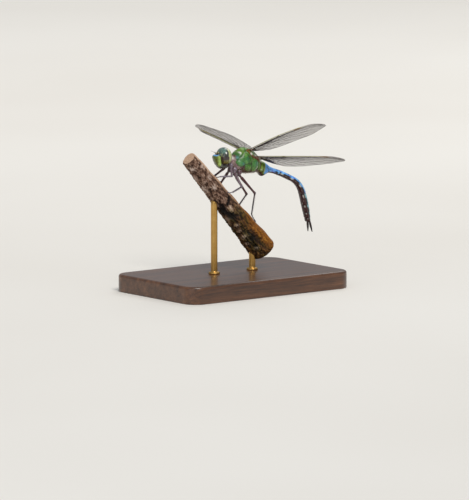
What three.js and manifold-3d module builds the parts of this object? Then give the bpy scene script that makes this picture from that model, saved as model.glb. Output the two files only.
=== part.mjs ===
// Common green darner dragonfly (Anax junius), male, life size, at rest on a cut length of
// dead stem. Two short rods carry the stem over a flat wooden base.
//
// Millimetres, +Z up. The origin is the middle of the base's underside. The insect heads
// along -X, so its left side is -Y. Body coordinates are [aft, right, up] from the middle
// of the thorax. Stem coordinates are distance down the stem, angle round it and height
// over its bark.

import * as THREE from 'three';
import { mergeVertices } from 'three/addons/utils/BufferGeometryUtils.js';
import Module from 'manifold-3d';

const wasm = await Module();
wasm.setup();

const degrees = Math.PI / 180;
const gap = 0.2;                       // clearance between pieces that meet

// ---------------------------------------------------------------- driving dimensions

const base = { length: 92, width: 60, height: 8, corner: 7, bevel: 1.2 };
const rod = { radius: 1.5, sides: 16, intoBase: 3, intoStem: 3, stations: { front: 4, rear: 36 } };
const stem = {
  slope: 46.7 * degrees, start: [-13.5, 0, 49.5], above: 17, below: 45, radius: 4.17,
  taper: 0.0447, sides: 18, rings: 18,
};
const body = { middle: [7, 0, 58.5], pitch: 17 * degrees };
const head = { place: [-12.4, 0, -0.9], pitch: -17 * degrees, turn: -13 * degrees };
const eyes = { radii: [3.2, 4.7, 4.15], power: 2.2, rear: 2.1, seam: 0.08, mesh: [20, 13] };
const capsule = { middle: [0.2, 0, -0.9], radii: [2.7, 2.2, 3.3], power: 2.2, rim: 0.8, mesh: [12, 8] };
const jaw = { middle: [-0.7, 0, -4.15], radii: [2.2, 1.9, 1.25], power: 2.4, mesh: [12, 8] };

// Face outline from the top of the frons to the lip: [height, front, half width].
const face = {
  rear: -1.8, sides: 16, power: 2.5, widest: 0.62,
  outline: [[1.15, -3.6, 1.5], [0.85, -4.9, 2.15], [0.2, -5.4, 2.4], [-1.0, -5.3, 2.45],
    [-2.4, -4.75, 2.4], [-3.8, -3.95, 2.2], [-4.8, -3.1, 1.85], [-5.35, -2.4, 1.2]],
};

// Neck and thorax outlines: [aft, bottom, top, half width].
const neck = { sides: 12, rings: 3, outline: [[-10.4, -2.4, -0.8, 0.75], [-9.25, -2.9, -1.0, 0.9]] };
const prothorax = {
  sides: 16, rings: 8,
  outline: [[-9.05, -3.2, -0.9, 1.2], [-8.8, -3.9, -0.2, 1.7], [-8.3, -4.5, 0.4, 2.1],
    [-7.7, -4.8, 0.4, 2.3], [-7.15, -4.5, -0.1, 2.1]],
};
const thorax = {
  sides: 22, rings: 15, power: 2.25, widest: 0.44,
  outline: [[-6.95, -4.3, 1.2, 2.2], [-6.2, -5.3, 3.1, 3.1], [-4.6, -6.1, 4.7, 3.85],
    [-2.2, -6.3, 5.5, 4.3], [0.6, -6.0, 5.5, 4.4], [3.2, -5.4, 4.9, 4.2],
    [5.6, -4.7, 3.7, 3.6], [7.5, -3.8, 2.2, 2.7]],
};

// Abdomen: the segments' lengths, how it bends down [from, to, turn], and its outline as
// [distance, bottom, top, half width].
const abdomen = {
  start: [7.7, 0, -0.85], sides: 16, rings: 3, power: 2.2, widest: 0.45, firstDip: 1 * degrees,
  bends: [[10, 17, 6 * degrees], [19.5, 32.5, 48.5 * degrees], [28.5, 50, 8 * degrees]],
  lengths: [1.9, 3.9, 6.9, 6.6, 6.2, 5.8, 5.2, 3.8, 2.7, 1.7],
  outline: [[0, -2.7, 2.6, 2.35], [1.9, -3.0, 2.7, 2.55], [3.4, -3.9, 2.5, 2.55],
    [4.8, -2.9, 2.1, 2.1], [6.2, -1.8, 1.6, 1.65], [9, -1.2, 1.25, 1.38], [13.5, -1.22, 1.22, 1.42],
    [22, -1.28, 1.24, 1.55], [31, -1.54, 1.44, 1.87], [37, -1.58, 1.48, 1.93], [42, -1.35, 1.25, 1.7],
    [44.7, -1.0, 0.95, 1.4]],
};
const cercus = {
  length: 5.2, spread: 9 * degrees, width: 0.78, thickness: 0.34, offset: 0.72, lift: 0.35,
  stalk: 0.4, tipNarrowing: 0.55, sides: 8, steps: 8,
};

// Wings. The trailing edge is [share of the length, distance behind the leading edge].
const foreOutline = {
  length: 48, tipDrop: 4.0,
  trailing: [[0, 2.4], [0.06, 5.8], [0.15, 8.4], [0.3, 9.6], [0.5, 10.3], [0.65, 10.2],
    [0.8, 8.5], [0.9, 6.8], [0.96, 5.8], [1, 4.1]],
};
const hindOutline = {
  length: 47, tipDrop: 4.0,
  trailing: [[0, 3.2], [0.03, 8.6], [0.1, 13.0], [0.2, 14.4], [0.35, 13.9], [0.5, 12.6],
    [0.7, 10.4], [0.85, 8.0], [0.94, 6.2], [1, 4.1]],
};
const wingShape = {
  thickness: 0.55, camber: 0.035, steps: 18, across: 3, inside: 1.2, pocket: 3.0, pocketSteps: 3,
  tipStart: 0.8, tipPower: 4.0,
};
const wings = {
  fore_left: { shape: foreOutline, root: [-0.5, -2.2, 5.1], sweep: -0.03, lift: 20.5, twist: 0, arch: 1.2 },
  fore_right: { shape: foreOutline, root: [0.2, 2.7, 4.0], sweep: 0.066, lift: 10.5, twist: 14.5, arch: 0.0 },
  hind_left: { shape: hindOutline, root: [3.7, -3.2, 2.85], sweep: 0.216, lift: 8.6, twist: -5, arch: 0.1 },
  hind_right: { shape: hindOutline, root: [3.7, 3.2, 2.95], sweep: 0.043, lift: 11, twist: -11.8, arch: 0.9 },
};

// Legs: socket, hip and knee in body coordinates, ankle and foot in stem coordinates.
const legRadii = {
  front: { coxa: 0.85, femur: 0.55, tibia: 0.36, tarsus: 0.28 },
  mid: { coxa: 0.9, femur: 0.58, tibia: 0.37, tarsus: 0.28 },
  hind: { coxa: 0.95, femur: 0.6, tibia: 0.38, tarsus: 0.3 },
};
// How the radius changes along each part of a leg: [share of the way, share of the radius].
const legTaper = {
  coxa: [[0, 1], [0.8, 0.92]],
  femur: [[0, 1.05], [0.12, 1.25], [0.5, 1], [0.93, 0.85], [1, 0.6]],
  tibia: [[0, 0.9], [0.12, 1.15], [0.6, 1], [1, 0.85]],
  tarsus: [[0, 0.85], [0.3, 1], [0.65, 1], [1, 0.9]],
};
const footPad = { share: 0.45, lift: 0.1 };
const kneeGap = 2.2;                   // gap at the knee, as a multiple of the usual one
const [limbSides, footSides] = [8, 6];
const legs = {
  front_left: {
    socket: [-8.3, -1.1, -3.4], hip: [-8.4, -1.9, -5.0], knee: [-10.1, -5.9, -8.9],
    ankle: [0.2, 34, 1.6], foot: [0.2, 8, 0],
  },
  front_right: {
    socket: [-8.3, 1.1, -3.4], hip: [-8.4, 1.9, -5.0], knee: [-11.4, 4.2, -9.8],
    ankle: [0.5, -35, 1.0], foot: [-2.0, -40, 0],
  },
  mid_left: {
    socket: [-5.9, -1.5, -4.8], hip: [-6.1, -2.1, -6.6], knee: [-4.6, -7.8, -12.4],
    ankle: [10.6, 34, 1.1], foot: [8.6, 50, 0],
  },
  mid_right: {
    socket: [-5.9, 1.5, -4.8], hip: [-6.1, 2.1, -6.6], knee: [-5.4, 6.6, -12.2],
    ankle: [8.0, -52, 1.0], foot: [10.6, -56, 0],
  },
  hind_left: {
    socket: [-3.1, -1.6, -5.2], hip: [-3.3, -2.3, -7.2], knee: [5.2, -5.9, -13.5],
    ankle: [26.4, 27, 0.5], foot: [30.8, 25, 0],
  },
  hind_right: {
    socket: [-3.1, 1.6, -5.2], hip: [-2.6, 2.0, -7.2], knee: [6.6, 1.5, -14.4],
    ankle: [22.8, -42, 1.0], foot: [26.8, -45, 0],
  },
};
const antenna = {
  root: [-3.35, 1.1, 1.35], reach: [-2.6, 0.6, 1.5], bend: 0.3, radii: [0.38, 0.28, 0.26], sides: 6,
};

// ---------------------------------------------------------------- general helpers

const vector = (values) => new THREE.Vector3(...values);

// Smooth curve through a table of rows [x, value, value...], read at x in one column.
function along(table, x, column = 1) {
  const last = table.length - 1;
  if (x <= table[0][0]) return table[0][column];
  if (x >= table[last][0]) return table[last][column];
  let i = 0;
  while (x > table[i + 1][0]) i += 1;
  const slopeAt = (k) => {
    const [before, after] = [table[Math.max(k - 1, 0)], table[Math.min(k + 1, last)]];
    return (after[column] - before[column]) / (after[0] - before[0]);
  };
  const span = table[i + 1][0] - table[i][0];
  const t = (x - table[i][0]) / span;
  const [start, end] = [table[i][column], table[i + 1][column]];
  const [rise, fall] = [slopeAt(i) * span, slopeAt(i + 1) * span];
  return start + t * rise + t * t * (3 * (end - start) - 2 * rise - fall)
    + t * t * t * (2 * (start - end) + rise + fall);
}

const ease = (x, low, high) => THREE.MathUtils.smoothstep(x, low, high);
const signedPower = (value, power) => Math.sign(value) * Math.abs(value) ** power;

// Closed mesh through rings of equally many points, with a flat fan at each end.
function loft(rings) {
  const count = rings[0].length;
  const points = rings.flat();
  const centre = (ring) => ring.reduce((sum, p) => sum.add(p), new THREE.Vector3()).divideScalar(count);
  points.push(centre(rings[0]), centre(rings.at(-1)));
  const index = [];
  for (let r = 0; r + 1 < rings.length; r += 1) {
    for (let i = 0; i < count; i += 1) {
      const next = (i + 1) % count;
      const [a, b] = [r * count + i, r * count + next];
      index.push(a, b, b + count, a, b + count, a + count);
    }
  }
  const lastRing = (rings.length - 1) * count;
  for (let i = 0; i < count; i += 1) {
    const next = (i + 1) % count;
    index.push(points.length - 2, next, i);
    index.push(points.length - 1, lastRing + i, lastRing + next);
  }
  const geometry = new THREE.BufferGeometry().setFromPoints(points);
  geometry.setIndex(index);
  return facingOut(geometry);
}

function facingOut(geometry) {
  const { array } = geometry.attributes.position;
  const index = geometry.index.array;
  const corner = (k) => new THREE.Vector3().fromArray(array, 3 * index[k]);
  let volume = 0;
  for (let k = 0; k < index.length; k += 3) {
    volume += corner(k).dot(corner(k + 1).cross(corner(k + 2)));
  }
  if (volume < 0) {
    for (let k = 0; k < index.length; k += 3) {
      [index[k], index[k + 1]] = [index[k + 1], index[k]];
    }
  }
  geometry.computeVertexNormals();
  return geometry;
}

// Oval ring square to X, pointed or boxy by its power. Its widest level is a share of its height.
function ovalRing(x, bottom, top, halfWidth, sides, power = 2, widest = 0.5) {
  const middle = THREE.MathUtils.lerp(bottom, top, widest);
  return Array.from({ length: sides }, (_, i) => {
    const angle = 2 * Math.PI * i / sides;
    const rise = signedPower(Math.cos(angle), 2 / power);
    const out = signedPower(Math.sin(angle), 2 / power);
    return new THREE.Vector3(x, out * halfWidth, middle + rise * (rise > 0 ? top - middle : middle - bottom));
  });
}

// Round tube through points, with one radius for each point.
function tube(points, radii, sides) {
  let across = null;
  const rings = points.map((point, i) => {
    const ahead = points[Math.min(i + 1, points.length - 1)];
    const behind = points[Math.max(i - 1, 0)];
    const direction = ahead.clone().sub(behind).normalize();
    across ??= new THREE.Vector3(0, 1, 0).cross(direction).normalize();
    across.addScaledVector(direction, -across.dot(direction)).normalize();
    const third = direction.clone().cross(across);
    return Array.from({ length: sides }, (_, k) => {
      const angle = 2 * Math.PI * k / sides;
      return point.clone()
        .addScaledVector(across, radii[i] * Math.cos(angle))
        .addScaledVector(third, radii[i] * Math.sin(angle));
    });
  });
  return loft(rings);
}

// Ball stretched to three radii, boxier as its power grows.
function roundedBlock({ radii, power, middle = [0, 0, 0], mesh }, margin = 0) {
  const reach = radii.map((radius) => radius + margin);
  const geometry = new THREE.SphereGeometry(1, ...mesh);
  const { position } = geometry.attributes;
  const direction = new THREE.Vector3();
  for (let i = 0; i < position.count; i += 1) {
    direction.fromBufferAttribute(position, i);
    const shares = direction.toArray().map((value, axis) => Math.abs(value / reach[axis]) ** power);
    direction.divideScalar((shares[0] + shares[1] + shares[2]) ** (1 / power)).add(vector(middle));
    position.setXYZ(i, ...direction);
  }
  return geometry;
}

// Between a geometry and a solid that can be joined and cut.
function solid(geometry) {
  const bare = geometry.clone();
  bare.deleteAttribute('normal');
  bare.deleteAttribute('uv');
  const merged = mergeVertices(bare, 1e-4);
  return new wasm.Manifold(new wasm.Mesh({
    numProp: 3,
    vertProperties: new Float32Array(merged.attributes.position.array),
    triVerts: new Uint32Array(merged.index.array),
  }));
}

function geometryOf(shape) {
  const mesh = shape.getMesh();
  const geometry = new THREE.BufferGeometry();
  geometry.setAttribute('position', new THREE.BufferAttribute(mesh.vertProperties, 3));
  geometry.setIndex(new THREE.BufferAttribute(mesh.triVerts, 1));
  geometry.computeVertexNormals();
  return geometry;
}

const cut = (geometry, ...tools) => geometryOf(
  tools.reduce((rest, tool) => rest.subtract(solid(tool)), solid(geometry)),
);

function block(low, high) {
  const size = vector(high).sub(vector(low));
  const middle = vector(low).add(vector(high)).divideScalar(2);
  return new THREE.BoxGeometry(...size).translate(...middle);
}

const finish = (color, roughness, metalness = 0) => (
  new THREE.MeshStandardMaterial({ color, roughness, metalness }));
const finishes = {
  green: () => finish(0x5d9a3c, 0.45),
  blue: () => finish(0x3f86d8, 0.45),
  dark: () => finish(0x3a1f1c, 0.4),
  eye: () => finish(0x6f8f7c, 0.12),
  face: () => finish(0x8b9a2a, 0.35),
  wing: () => finish(0x8d8170, 0.25),
  bark: () => finish(0x9a7a63, 0.9),
  wood: () => finish(0x4a2c1a, 0.35),
  brass: () => finish(0xb9975b, 0.3, 1),
};

function place(group, name, geometry, material) {
  const mesh = new THREE.Mesh(geometry, material);
  mesh.name = name;
  group.add(mesh);
  return mesh;
}

// ---------------------------------------------------------------- frames

const model = new THREE.Group();
const bodyGroup = new THREE.Group();
bodyGroup.position.set(...body.middle);
bodyGroup.rotation.y = body.pitch;
const headGroup = new THREE.Group();
headGroup.position.set(...head.place);
headGroup.rotation.set(0, head.pitch, head.turn);
const stemGroup = new THREE.Group();
stemGroup.position.set(...stem.start);
stemGroup.rotation.y = stem.slope;
bodyGroup.add(headGroup);
model.add(bodyGroup, stemGroup);
model.updateMatrixWorld(true);

// ---------------------------------------------------------------- stand and stem

function standBase() {
  const { length, width, height, corner, bevel } = base;
  const [halfLength, halfWidth] = [length / 2 - bevel, width / 2 - bevel];
  const outline = new THREE.Shape();
  outline.moveTo(-halfLength + corner, -halfWidth);
  outline.lineTo(halfLength - corner, -halfWidth);
  outline.absarc(halfLength - corner, -halfWidth + corner, corner, -Math.PI / 2, 0);
  outline.absarc(halfLength - corner, halfWidth - corner, corner, 0, Math.PI / 2);
  outline.absarc(-halfLength + corner, halfWidth - corner, corner, Math.PI / 2, Math.PI);
  outline.absarc(-halfLength + corner, -halfWidth + corner, corner, Math.PI, 1.5 * Math.PI);
  return new THREE.ExtrudeGeometry(outline, {
    depth: height - 2 * bevel, bevelThickness: bevel, bevelSize: bevel, bevelSegments: 2, curveSegments: 3,
  }).translate(0, 0, bevel);
}

const stemRadius = (down, angle) => {
  const knots = 0.28 * Math.sin(2 * angle + 0.21 * down) * Math.sin(0.33 * down + 1.1);
  const ripples = 0.14 * Math.sin(3 * angle - 0.5 * down + 0.7);
  return stem.radius + stem.taper * down + knots + ripples;
};

function stemPoint(down, angle, lift = 0) {
  const radius = stemRadius(down, angle) + lift;
  return new THREE.Vector3(down, -radius * Math.sin(angle), radius * Math.cos(angle));
}

function stemPiece() {
  const rings = Array.from({ length: stem.rings + 1 }, (_, r) => {
    const down = THREE.MathUtils.lerp(-stem.above, stem.below, r / stem.rings);
    return Array.from({ length: stem.sides }, (_, i) => stemPoint(down, 2 * Math.PI * i / stem.sides));
  });
  return loft(rings);
}

const rodPlace = (station) => stemGroup.localToWorld(new THREE.Vector3(rod.stations[station], 0, 0));

// How high a rod stands: up to its depth inside the underside of the stem.
function rodTop(station) {
  const under = stemPoint(rod.stations[station], Math.PI).length();
  const radius = Math.sqrt(under ** 2 - rod.stations[station] ** 2);
  return rodPlace(station).z - radius / Math.cos(stem.slope) + rod.intoStem;
}

function rodPiece(station, margin = 0) {
  const low = base.height - rod.intoBase - margin;
  const height = rodTop(station) + margin - low;
  const { x, y } = rodPlace(station);
  return new THREE.CylinderGeometry(rod.radius + margin, rod.radius + margin, height, rod.sides)
    .rotateX(Math.PI / 2).translate(x, y, low + height / 2);
}

const stations = Object.keys(rod.stations);
const sockets = stations.map((station) => rodPiece(station, gap));
const toStem = stemGroup.matrixWorld.clone().invert();
place(model, 'stand_base', cut(standBase(), ...sockets), finishes.wood());
stations.forEach((station) => place(model, `stand_rod_${station}`, rodPiece(station), finishes.brass()));
place(
  stemGroup,
  'perch',
  cut(stemPiece(), ...sockets.map((socket) => socket.clone().applyMatrix4(toStem))),
  finishes.bark(),
);

// ---------------------------------------------------------------- legs

const toBody = bodyGroup.matrixWorld.clone().invert();

// Point on the stem, as a body coordinate.
function grip([down, angle, lift]) {
  return stemGroup.localToWorld(stemPoint(down, angle * degrees, lift)).applyMatrix4(toBody);
}

const between = (start, end, share) => start.clone().lerp(end, share);

// Points and radii along one part of a leg, from start to end.
function limb(start, end, taper, radius, margin) {
  return taper.map(([share, thickness]) => [between(start, end, share), radius * thickness + margin]);
}

function limbTube(stretches, sides) {
  const rows = stretches.flat();
  return tube(rows.map((row) => row[0]), rows.map((row) => row[1]), sides);
}

function legPieces(leg, radii, margin = 0) {
  const [socket, hip, knee] = [leg.socket, leg.hip, leg.knee].map(vector);
  const rest = radii.tarsus + gap;
  const [down, angle, lift] = leg.ankle;
  const ankle = grip([down, angle, rest + lift]);
  const foot = grip([leg.foot[0], leg.foot[1], rest]);
  const padDown = THREE.MathUtils.lerp(down, leg.foot[0], footPad.share);
  const padAngle = THREE.MathUtils.lerp(angle, leg.foot[1], footPad.share);
  const pad = grip([padDown, padAngle, rest + footPad.lift]);
  const belowKnee = between(knee, ankle, kneeGap * gap / knee.distanceTo(ankle));
  const belowAnkle = between(ankle, pad, (gap + radii.tarsus) / ankle.distanceTo(pad));
  const tarsus = [
    ...limb(belowAnkle, pad, legTaper.tarsus.slice(0, 2), radii.tarsus, margin),
    ...limb(pad, foot, legTaper.tarsus.slice(2), radii.tarsus, margin),
  ];
  return {
    femur: limbTube([
      limb(socket, hip, legTaper.coxa, radii.coxa, margin),
      limb(hip, knee, legTaper.femur, radii.femur, margin),
    ], limbSides),
    tibia: limbTube([limb(belowKnee, ankle, legTaper.tibia, radii.tibia, margin)], limbSides),
    tarsus: limbTube([tarsus], footSides),
  };
}

const hipTools = { front: [], rear: [] };
for (const [name, leg] of Object.entries(legs)) {
  const pair = name.split('_')[0];
  const pieces = legPieces(leg, legRadii[pair]);
  for (const [piece, geometry] of Object.entries(pieces)) {
    place(bodyGroup, `leg_${name}_${piece}`, geometry, finishes.dark());
  }
  const tool = legPieces(leg, legRadii[pair], gap).femur;
  hipTools[pair === 'front' ? 'front' : 'rear'].push(tool);
}

// ---------------------------------------------------------------- wings

// Leading and trailing edges at a share of the wing's length.
function wingEdges(shape, share) {
  const { tipStart, tipPower } = wingShape;
  const lead = shape.tipDrop * Math.max(0, (share - tipStart) / (1 - tipStart)) ** tipPower;
  return [lead, along(shape.trailing, share)];
}

function wingPoint(wing, share, across, offset = 0, margin = 0) {
  const [lead, trail] = wingEdges(wing.shape, share);
  const chord = trail - lead;
  const x = lead - margin + (chord + 2 * margin) * across;
  const bow = wing.arch * 4 * share * (1 - share);
  const crown = wingShape.camber * chord * 4 * across * (1 - across);
  return new THREE.Vector3(x, share * wing.shape.length, bow + crown + offset);
}

function wingPiece(wing, from, to, steps, margin = 0) {
  const half = wingShape.thickness / 2 + margin;
  const rings = [];
  for (let r = 0; r <= steps; r += 1) {
    const eased = (1 - Math.cos(Math.PI * r / steps)) / 2;
    const share = THREE.MathUtils.lerp(from, to, eased) / wing.shape.length;
    const ring = [];
    for (let k = 0; k <= wingShape.across; k += 1) {
      ring.push(wingPoint(wing, share, k / wingShape.across, half, margin));
    }
    for (let k = wingShape.across; k >= 0; k -= 1) {
      ring.push(wingPoint(wing, share, k / wingShape.across, -half, margin));
    }
    rings.push(ring);
  }
  return loft(rings);
}

// Wing frame in the body: x from the leading to the trailing edge, y out along the wing.
function wingFrame(wing) {
  const side = Math.sign(wing.root[1]);
  const [lift, twist] = [wing.lift * degrees, wing.twist * degrees];
  const out = new THREE.Vector3(wing.sweep, side * Math.cos(lift), Math.sin(lift)).normalize();
  const level = new THREE.Vector3(1, 0, 0).addScaledVector(out, -out.x).normalize();
  const up = out.clone().cross(level).multiplyScalar(-side);
  const aft = level.clone().multiplyScalar(Math.cos(twist)).addScaledVector(up, Math.sin(twist));
  const crown = aft.clone().cross(out).multiplyScalar(side);
  return new THREE.Matrix4().makeBasis(aft, out, crown).setPosition(...wing.root);
}

const wingTools = Object.entries(wings).map(([name, wing]) => {
  const frame = wingFrame(wing);
  const { inside, steps, pocket, pocketSteps } = wingShape;
  const whole = wingPiece(wing, -inside, wing.shape.length, steps);
  place(bodyGroup, `wing_${name}`, facingOut(whole.applyMatrix4(frame)), finishes.wing());
  return facingOut(wingPiece(wing, -inside - gap, pocket, pocketSteps, gap).applyMatrix4(frame));
});

// ---------------------------------------------------------------- thorax and neck

function outlinedPiece({ outline, sides, rings, power = 2, widest = 0.5 }, margin = 0) {
  const [first, last] = [outline[0][0], outline.at(-1)[0]];
  return loft(Array.from({ length: rings + 1 }, (_, r) => {
    const share = r / rings;
    const [bottom, top, halfWidth] = [1, 2, 3].map((column) => (
      along(outline, THREE.MathUtils.lerp(first, last, share), column)));
    const x = THREE.MathUtils.lerp(first - margin, last + margin, share);
    return ovalRing(x, bottom - margin, top + margin, halfWidth + margin, sides, power, widest);
  }));
}

place(bodyGroup, 'thorax', cut(outlinedPiece(thorax), ...hipTools.rear, ...wingTools), finishes.green());
place(bodyGroup, 'prothorax', cut(outlinedPiece(prothorax), ...hipTools.front), finishes.dark());
place(bodyGroup, 'neck', outlinedPiece(neck), finishes.dark());

// ---------------------------------------------------------------- head

function facePiece(margin = 0) {
  const { outline, rear, sides, power, widest } = face;
  const rings = outline.map(([height, front, halfWidth], i) => {
    const rise = (i === 0 ? margin : 0) - (i === outline.length - 1 ? margin : 0);
    return ovalRing(height + rise, front - margin, rear + margin, halfWidth + margin, sides, power, widest)
      .map((p) => new THREE.Vector3(p.z, p.y, p.x));
  });
  return loft(rings);
}

const eyeBall = roundedBlock(eyes);
const far = 10;                        // beyond every side of the head

function eyePiece(side) {
  const half = side > 0
    ? block([-far, eyes.seam, -far], [eyes.rear, far, far])
    : block([-far, -far, -far], [eyes.rear, -eyes.seam, far]);
  return geometryOf(solid(eyeBall).intersect(solid(half))
    .subtract(solid(roundedBlock(capsule, gap)))
    .subtract(solid(facePiece(gap)))
    .subtract(solid(roundedBlock(jaw, gap))));
}

function capsulePiece() {
  const low = eyes.rear + gap;
  const rim = solid(eyeBall).intersect(solid(block([low, -far, -far], [low + capsule.rim, far, far])));
  const toHead = headGroup.matrix.clone().invert();
  const holes = [neck, prothorax].map((piece) => solid(outlinedPiece(piece, gap).applyMatrix4(toHead)));
  return geometryOf([solid(facePiece(gap)), ...holes].reduce(
    (rest, hole) => rest.subtract(hole), solid(roundedBlock(capsule)).add(rim),
  ));
}

function antennaPiece(side) {
  const [root, reach] = [vector(antenna.root), vector(antenna.reach)];
  const points = [0, antenna.bend, 1].map((share) => (
    root.clone().addScaledVector(reach, share).multiply(new THREE.Vector3(1, side, 1))));
  return tube(points, antenna.radii, antenna.sides);
}

place(headGroup, 'face', facePiece(), finishes.face());
place(headGroup, 'head', capsulePiece(), finishes.face());
place(headGroup, 'jaw', cut(roundedBlock(jaw), facePiece(gap), roundedBlock(capsule, gap)), finishes.dark());
place(headGroup, 'eye_left', eyePiece(-1), finishes.eye());
place(headGroup, 'eye_right', eyePiece(1), finishes.eye());
place(headGroup, 'antenna_left', antennaPiece(-1), finishes.dark());
place(headGroup, 'antenna_right', antennaPiece(1), finishes.dark());

// ---------------------------------------------------------------- abdomen

// How far the abdomen dips under the body's axis at a distance along it.
const dip = (distance) => abdomen.bends.reduce(
  (angle, [low, high, turn]) => angle + turn * ease(distance, low, high), abdomen.firstDip,
);

function abdomenPoint(distance) {
  const step = 0.1;
  const point = vector(abdomen.start);
  for (let s = 0; s < distance; s += step) {
    const part = Math.min(step, distance - s);
    point.x += part * Math.cos(dip(s));
    point.z -= part * Math.sin(dip(s));
  }
  return point;
}

function abdomenRing(distance) {
  const [bottom, top, halfWidth] = [1, 2, 3].map((column) => along(abdomen.outline, distance, column));
  const turn = new THREE.Matrix4().makeRotationY(dip(distance)).setPosition(abdomenPoint(distance));
  return ovalRing(0, bottom, top, halfWidth, abdomen.sides, abdomen.power, abdomen.widest)
    .map((p) => p.applyMatrix4(turn));
}

function abdomenPiece(from, to) {
  return loft(Array.from({ length: abdomen.rings + 1 }, (_, r) => (
    abdomenRing(THREE.MathUtils.lerp(from + gap / 2, to - gap / 2, r / abdomen.rings)))));
}

let abdomenEnd = 0;
abdomen.lengths.forEach((length, i) => {
  const material = i === 0 ? finishes.green() : finishes.blue();
  place(bodyGroup, `abdomen_${i + 1}`, abdomenPiece(abdomenEnd, abdomenEnd + length), material);
  abdomenEnd += length;
});

// Leaf-shaped clasper: a narrow stalk, widest past the middle, blunt at the tip.
function cercusPiece(side) {
  const { length, width, thickness, stalk, tipNarrowing, sides, steps } = cercus;
  const frame = new THREE.Matrix4().makeRotationY(dip(abdomenEnd))
    .multiply(new THREE.Matrix4().makeRotationZ(side * cercus.spread))
    .setPosition(abdomenPoint(abdomenEnd));
  const rings = Array.from({ length: steps + 1 }, (_, r) => {
    const share = r / steps;
    const swell = stalk + (1 - stalk) * Math.sin(Math.PI * (0.16 + 0.8 * share));
    const halfWidth = width * swell * (1 - tipNarrowing * share ** 4);
    return ovalRing(gap + share * length, -thickness, thickness, halfWidth, sides).map((p) => (
      new THREE.Vector3(p.x, p.y + side * cercus.offset, p.z + cercus.lift).applyMatrix4(frame)));
  });
  return loft(rings);
}

place(bodyGroup, 'cercus_left', cercusPiece(-1), finishes.dark());
place(bodyGroup, 'cercus_right', cercusPiece(1), finishes.dark());

export default model;
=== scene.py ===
"""Looks of the common green darner dragonfly (Anax junius), male, on its cut stem and stand.

Lengths are millimetres until a piece is made. Body coordinates are (aft, right, up) from the
middle of the thorax, head coordinates the same from the middle of the head, and stem
coordinates are the distance down the stem, the angle round it and the height over its bark.
The insect heads along -X, so its left side is -Y.
"""

import math

import bpy
import numpy as np
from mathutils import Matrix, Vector, noise

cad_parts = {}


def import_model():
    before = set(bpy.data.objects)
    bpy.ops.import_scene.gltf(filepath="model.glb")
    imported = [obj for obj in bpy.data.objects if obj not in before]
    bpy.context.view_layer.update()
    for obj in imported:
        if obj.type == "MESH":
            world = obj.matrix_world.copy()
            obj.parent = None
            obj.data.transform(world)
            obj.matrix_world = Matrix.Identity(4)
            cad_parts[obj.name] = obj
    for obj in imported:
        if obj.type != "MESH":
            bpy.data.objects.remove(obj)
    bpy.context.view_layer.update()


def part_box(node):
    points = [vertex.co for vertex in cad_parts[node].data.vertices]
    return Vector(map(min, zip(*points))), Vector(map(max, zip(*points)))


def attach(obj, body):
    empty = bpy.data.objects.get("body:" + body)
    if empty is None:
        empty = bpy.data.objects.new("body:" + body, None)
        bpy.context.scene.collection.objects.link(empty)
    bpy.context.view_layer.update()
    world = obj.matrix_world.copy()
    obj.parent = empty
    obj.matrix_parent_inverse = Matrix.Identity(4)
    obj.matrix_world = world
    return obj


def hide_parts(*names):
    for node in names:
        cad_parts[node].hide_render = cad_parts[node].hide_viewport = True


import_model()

MM = 0.001
PAIRS = ("left", "right")

# ------------------------------------------------------------------ the part's measures

# As in the solids, but with rounder wing tips and lower knots on the stem.
BASE = {"length": 92, "width": 60, "height": 8, "corner": 7, "bevel": 1.2}
ROD = {"radius": 1.5, "names": ("front", "rear")}
STEM = {"slope": 46.7, "start": (-13.5, 0, 49.5), "above": 17, "below": 45, "radius": 4.17, "taper": 0.0447}
BODY = {"middle": (7, 0, 58.5), "pitch": 17}
HEAD = {"place": (-12.4, 0, -0.9), "pitch": -17, "turn": -13}
EYE = {"radii": (3.2, 4.7, 4.15), "power": 2.2, "rear": 2.1, "seam": 0.05}
CAPSULE = {"middle": (0.2, 0, -0.9), "radii": (2.7, 2.2, 3.3), "power": 2.2}
JAW = {"middle": (-0.7, 0, -4.15), "radii": (2.2, 1.9, 1.25), "power": 2.4}
ANTENNA = {"root": (-3.35, 1.1, 1.35), "reach": (-2.6, 0.6, 1.5)}

# Face outline: [height, front, half width].
FACE = [[-5.35, -2.4, 1.2], [-4.8, -3.1, 1.85], [-3.8, -3.95, 2.2], [-2.4, -4.75, 2.4], [-1.0, -5.3, 2.45],
        [0.2, -5.4, 2.4], [0.85, -4.9, 2.15], [1.15, -3.9, 1.6]]
FACE_REAR = -1.8

# Outline of the neck, prothorax and thorax: [aft, bottom, top, half width].
TRUNK = [[-11.2, -2.2, -0.8, 0.7], [-10.4, -2.4, -0.8, 0.75], [-9.4, -2.9, -1.0, 0.85],
         [-9.1, -3.2, -0.9, 1.15], [-8.8, -3.85, -0.2, 1.65], [-8.3, -4.45, 0.4, 2.05],
         [-7.7, -4.7, 0.4, 2.25], [-7.2, -4.4, 0.0, 2.05], [-7.0, -4.3, 0.7, 2.1],
         [-6.75, -4.6, 1.7, 2.5], [-6.2, -5.3, 3.1, 3.1], [-4.6, -6.1, 4.7, 3.85],
         [-2.2, -6.3, 5.5, 4.3], [0.6, -6.0, 5.5, 4.4], [3.2, -5.4, 4.9, 4.2], [5.6, -4.7, 3.7, 3.6],
         [7.3, -3.9, 2.35, 2.75]]
ABDOMEN = {
    "start": (7.7, -0.85), "first_dip": 1, "bends": ((10, 17, 6), (19.5, 32.5, 48.5), (28.5, 50, 8)),
    "lengths": (1.9, 3.9, 6.9, 6.6, 6.2, 5.8, 5.2, 3.8, 2.7, 1.7),
}
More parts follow.
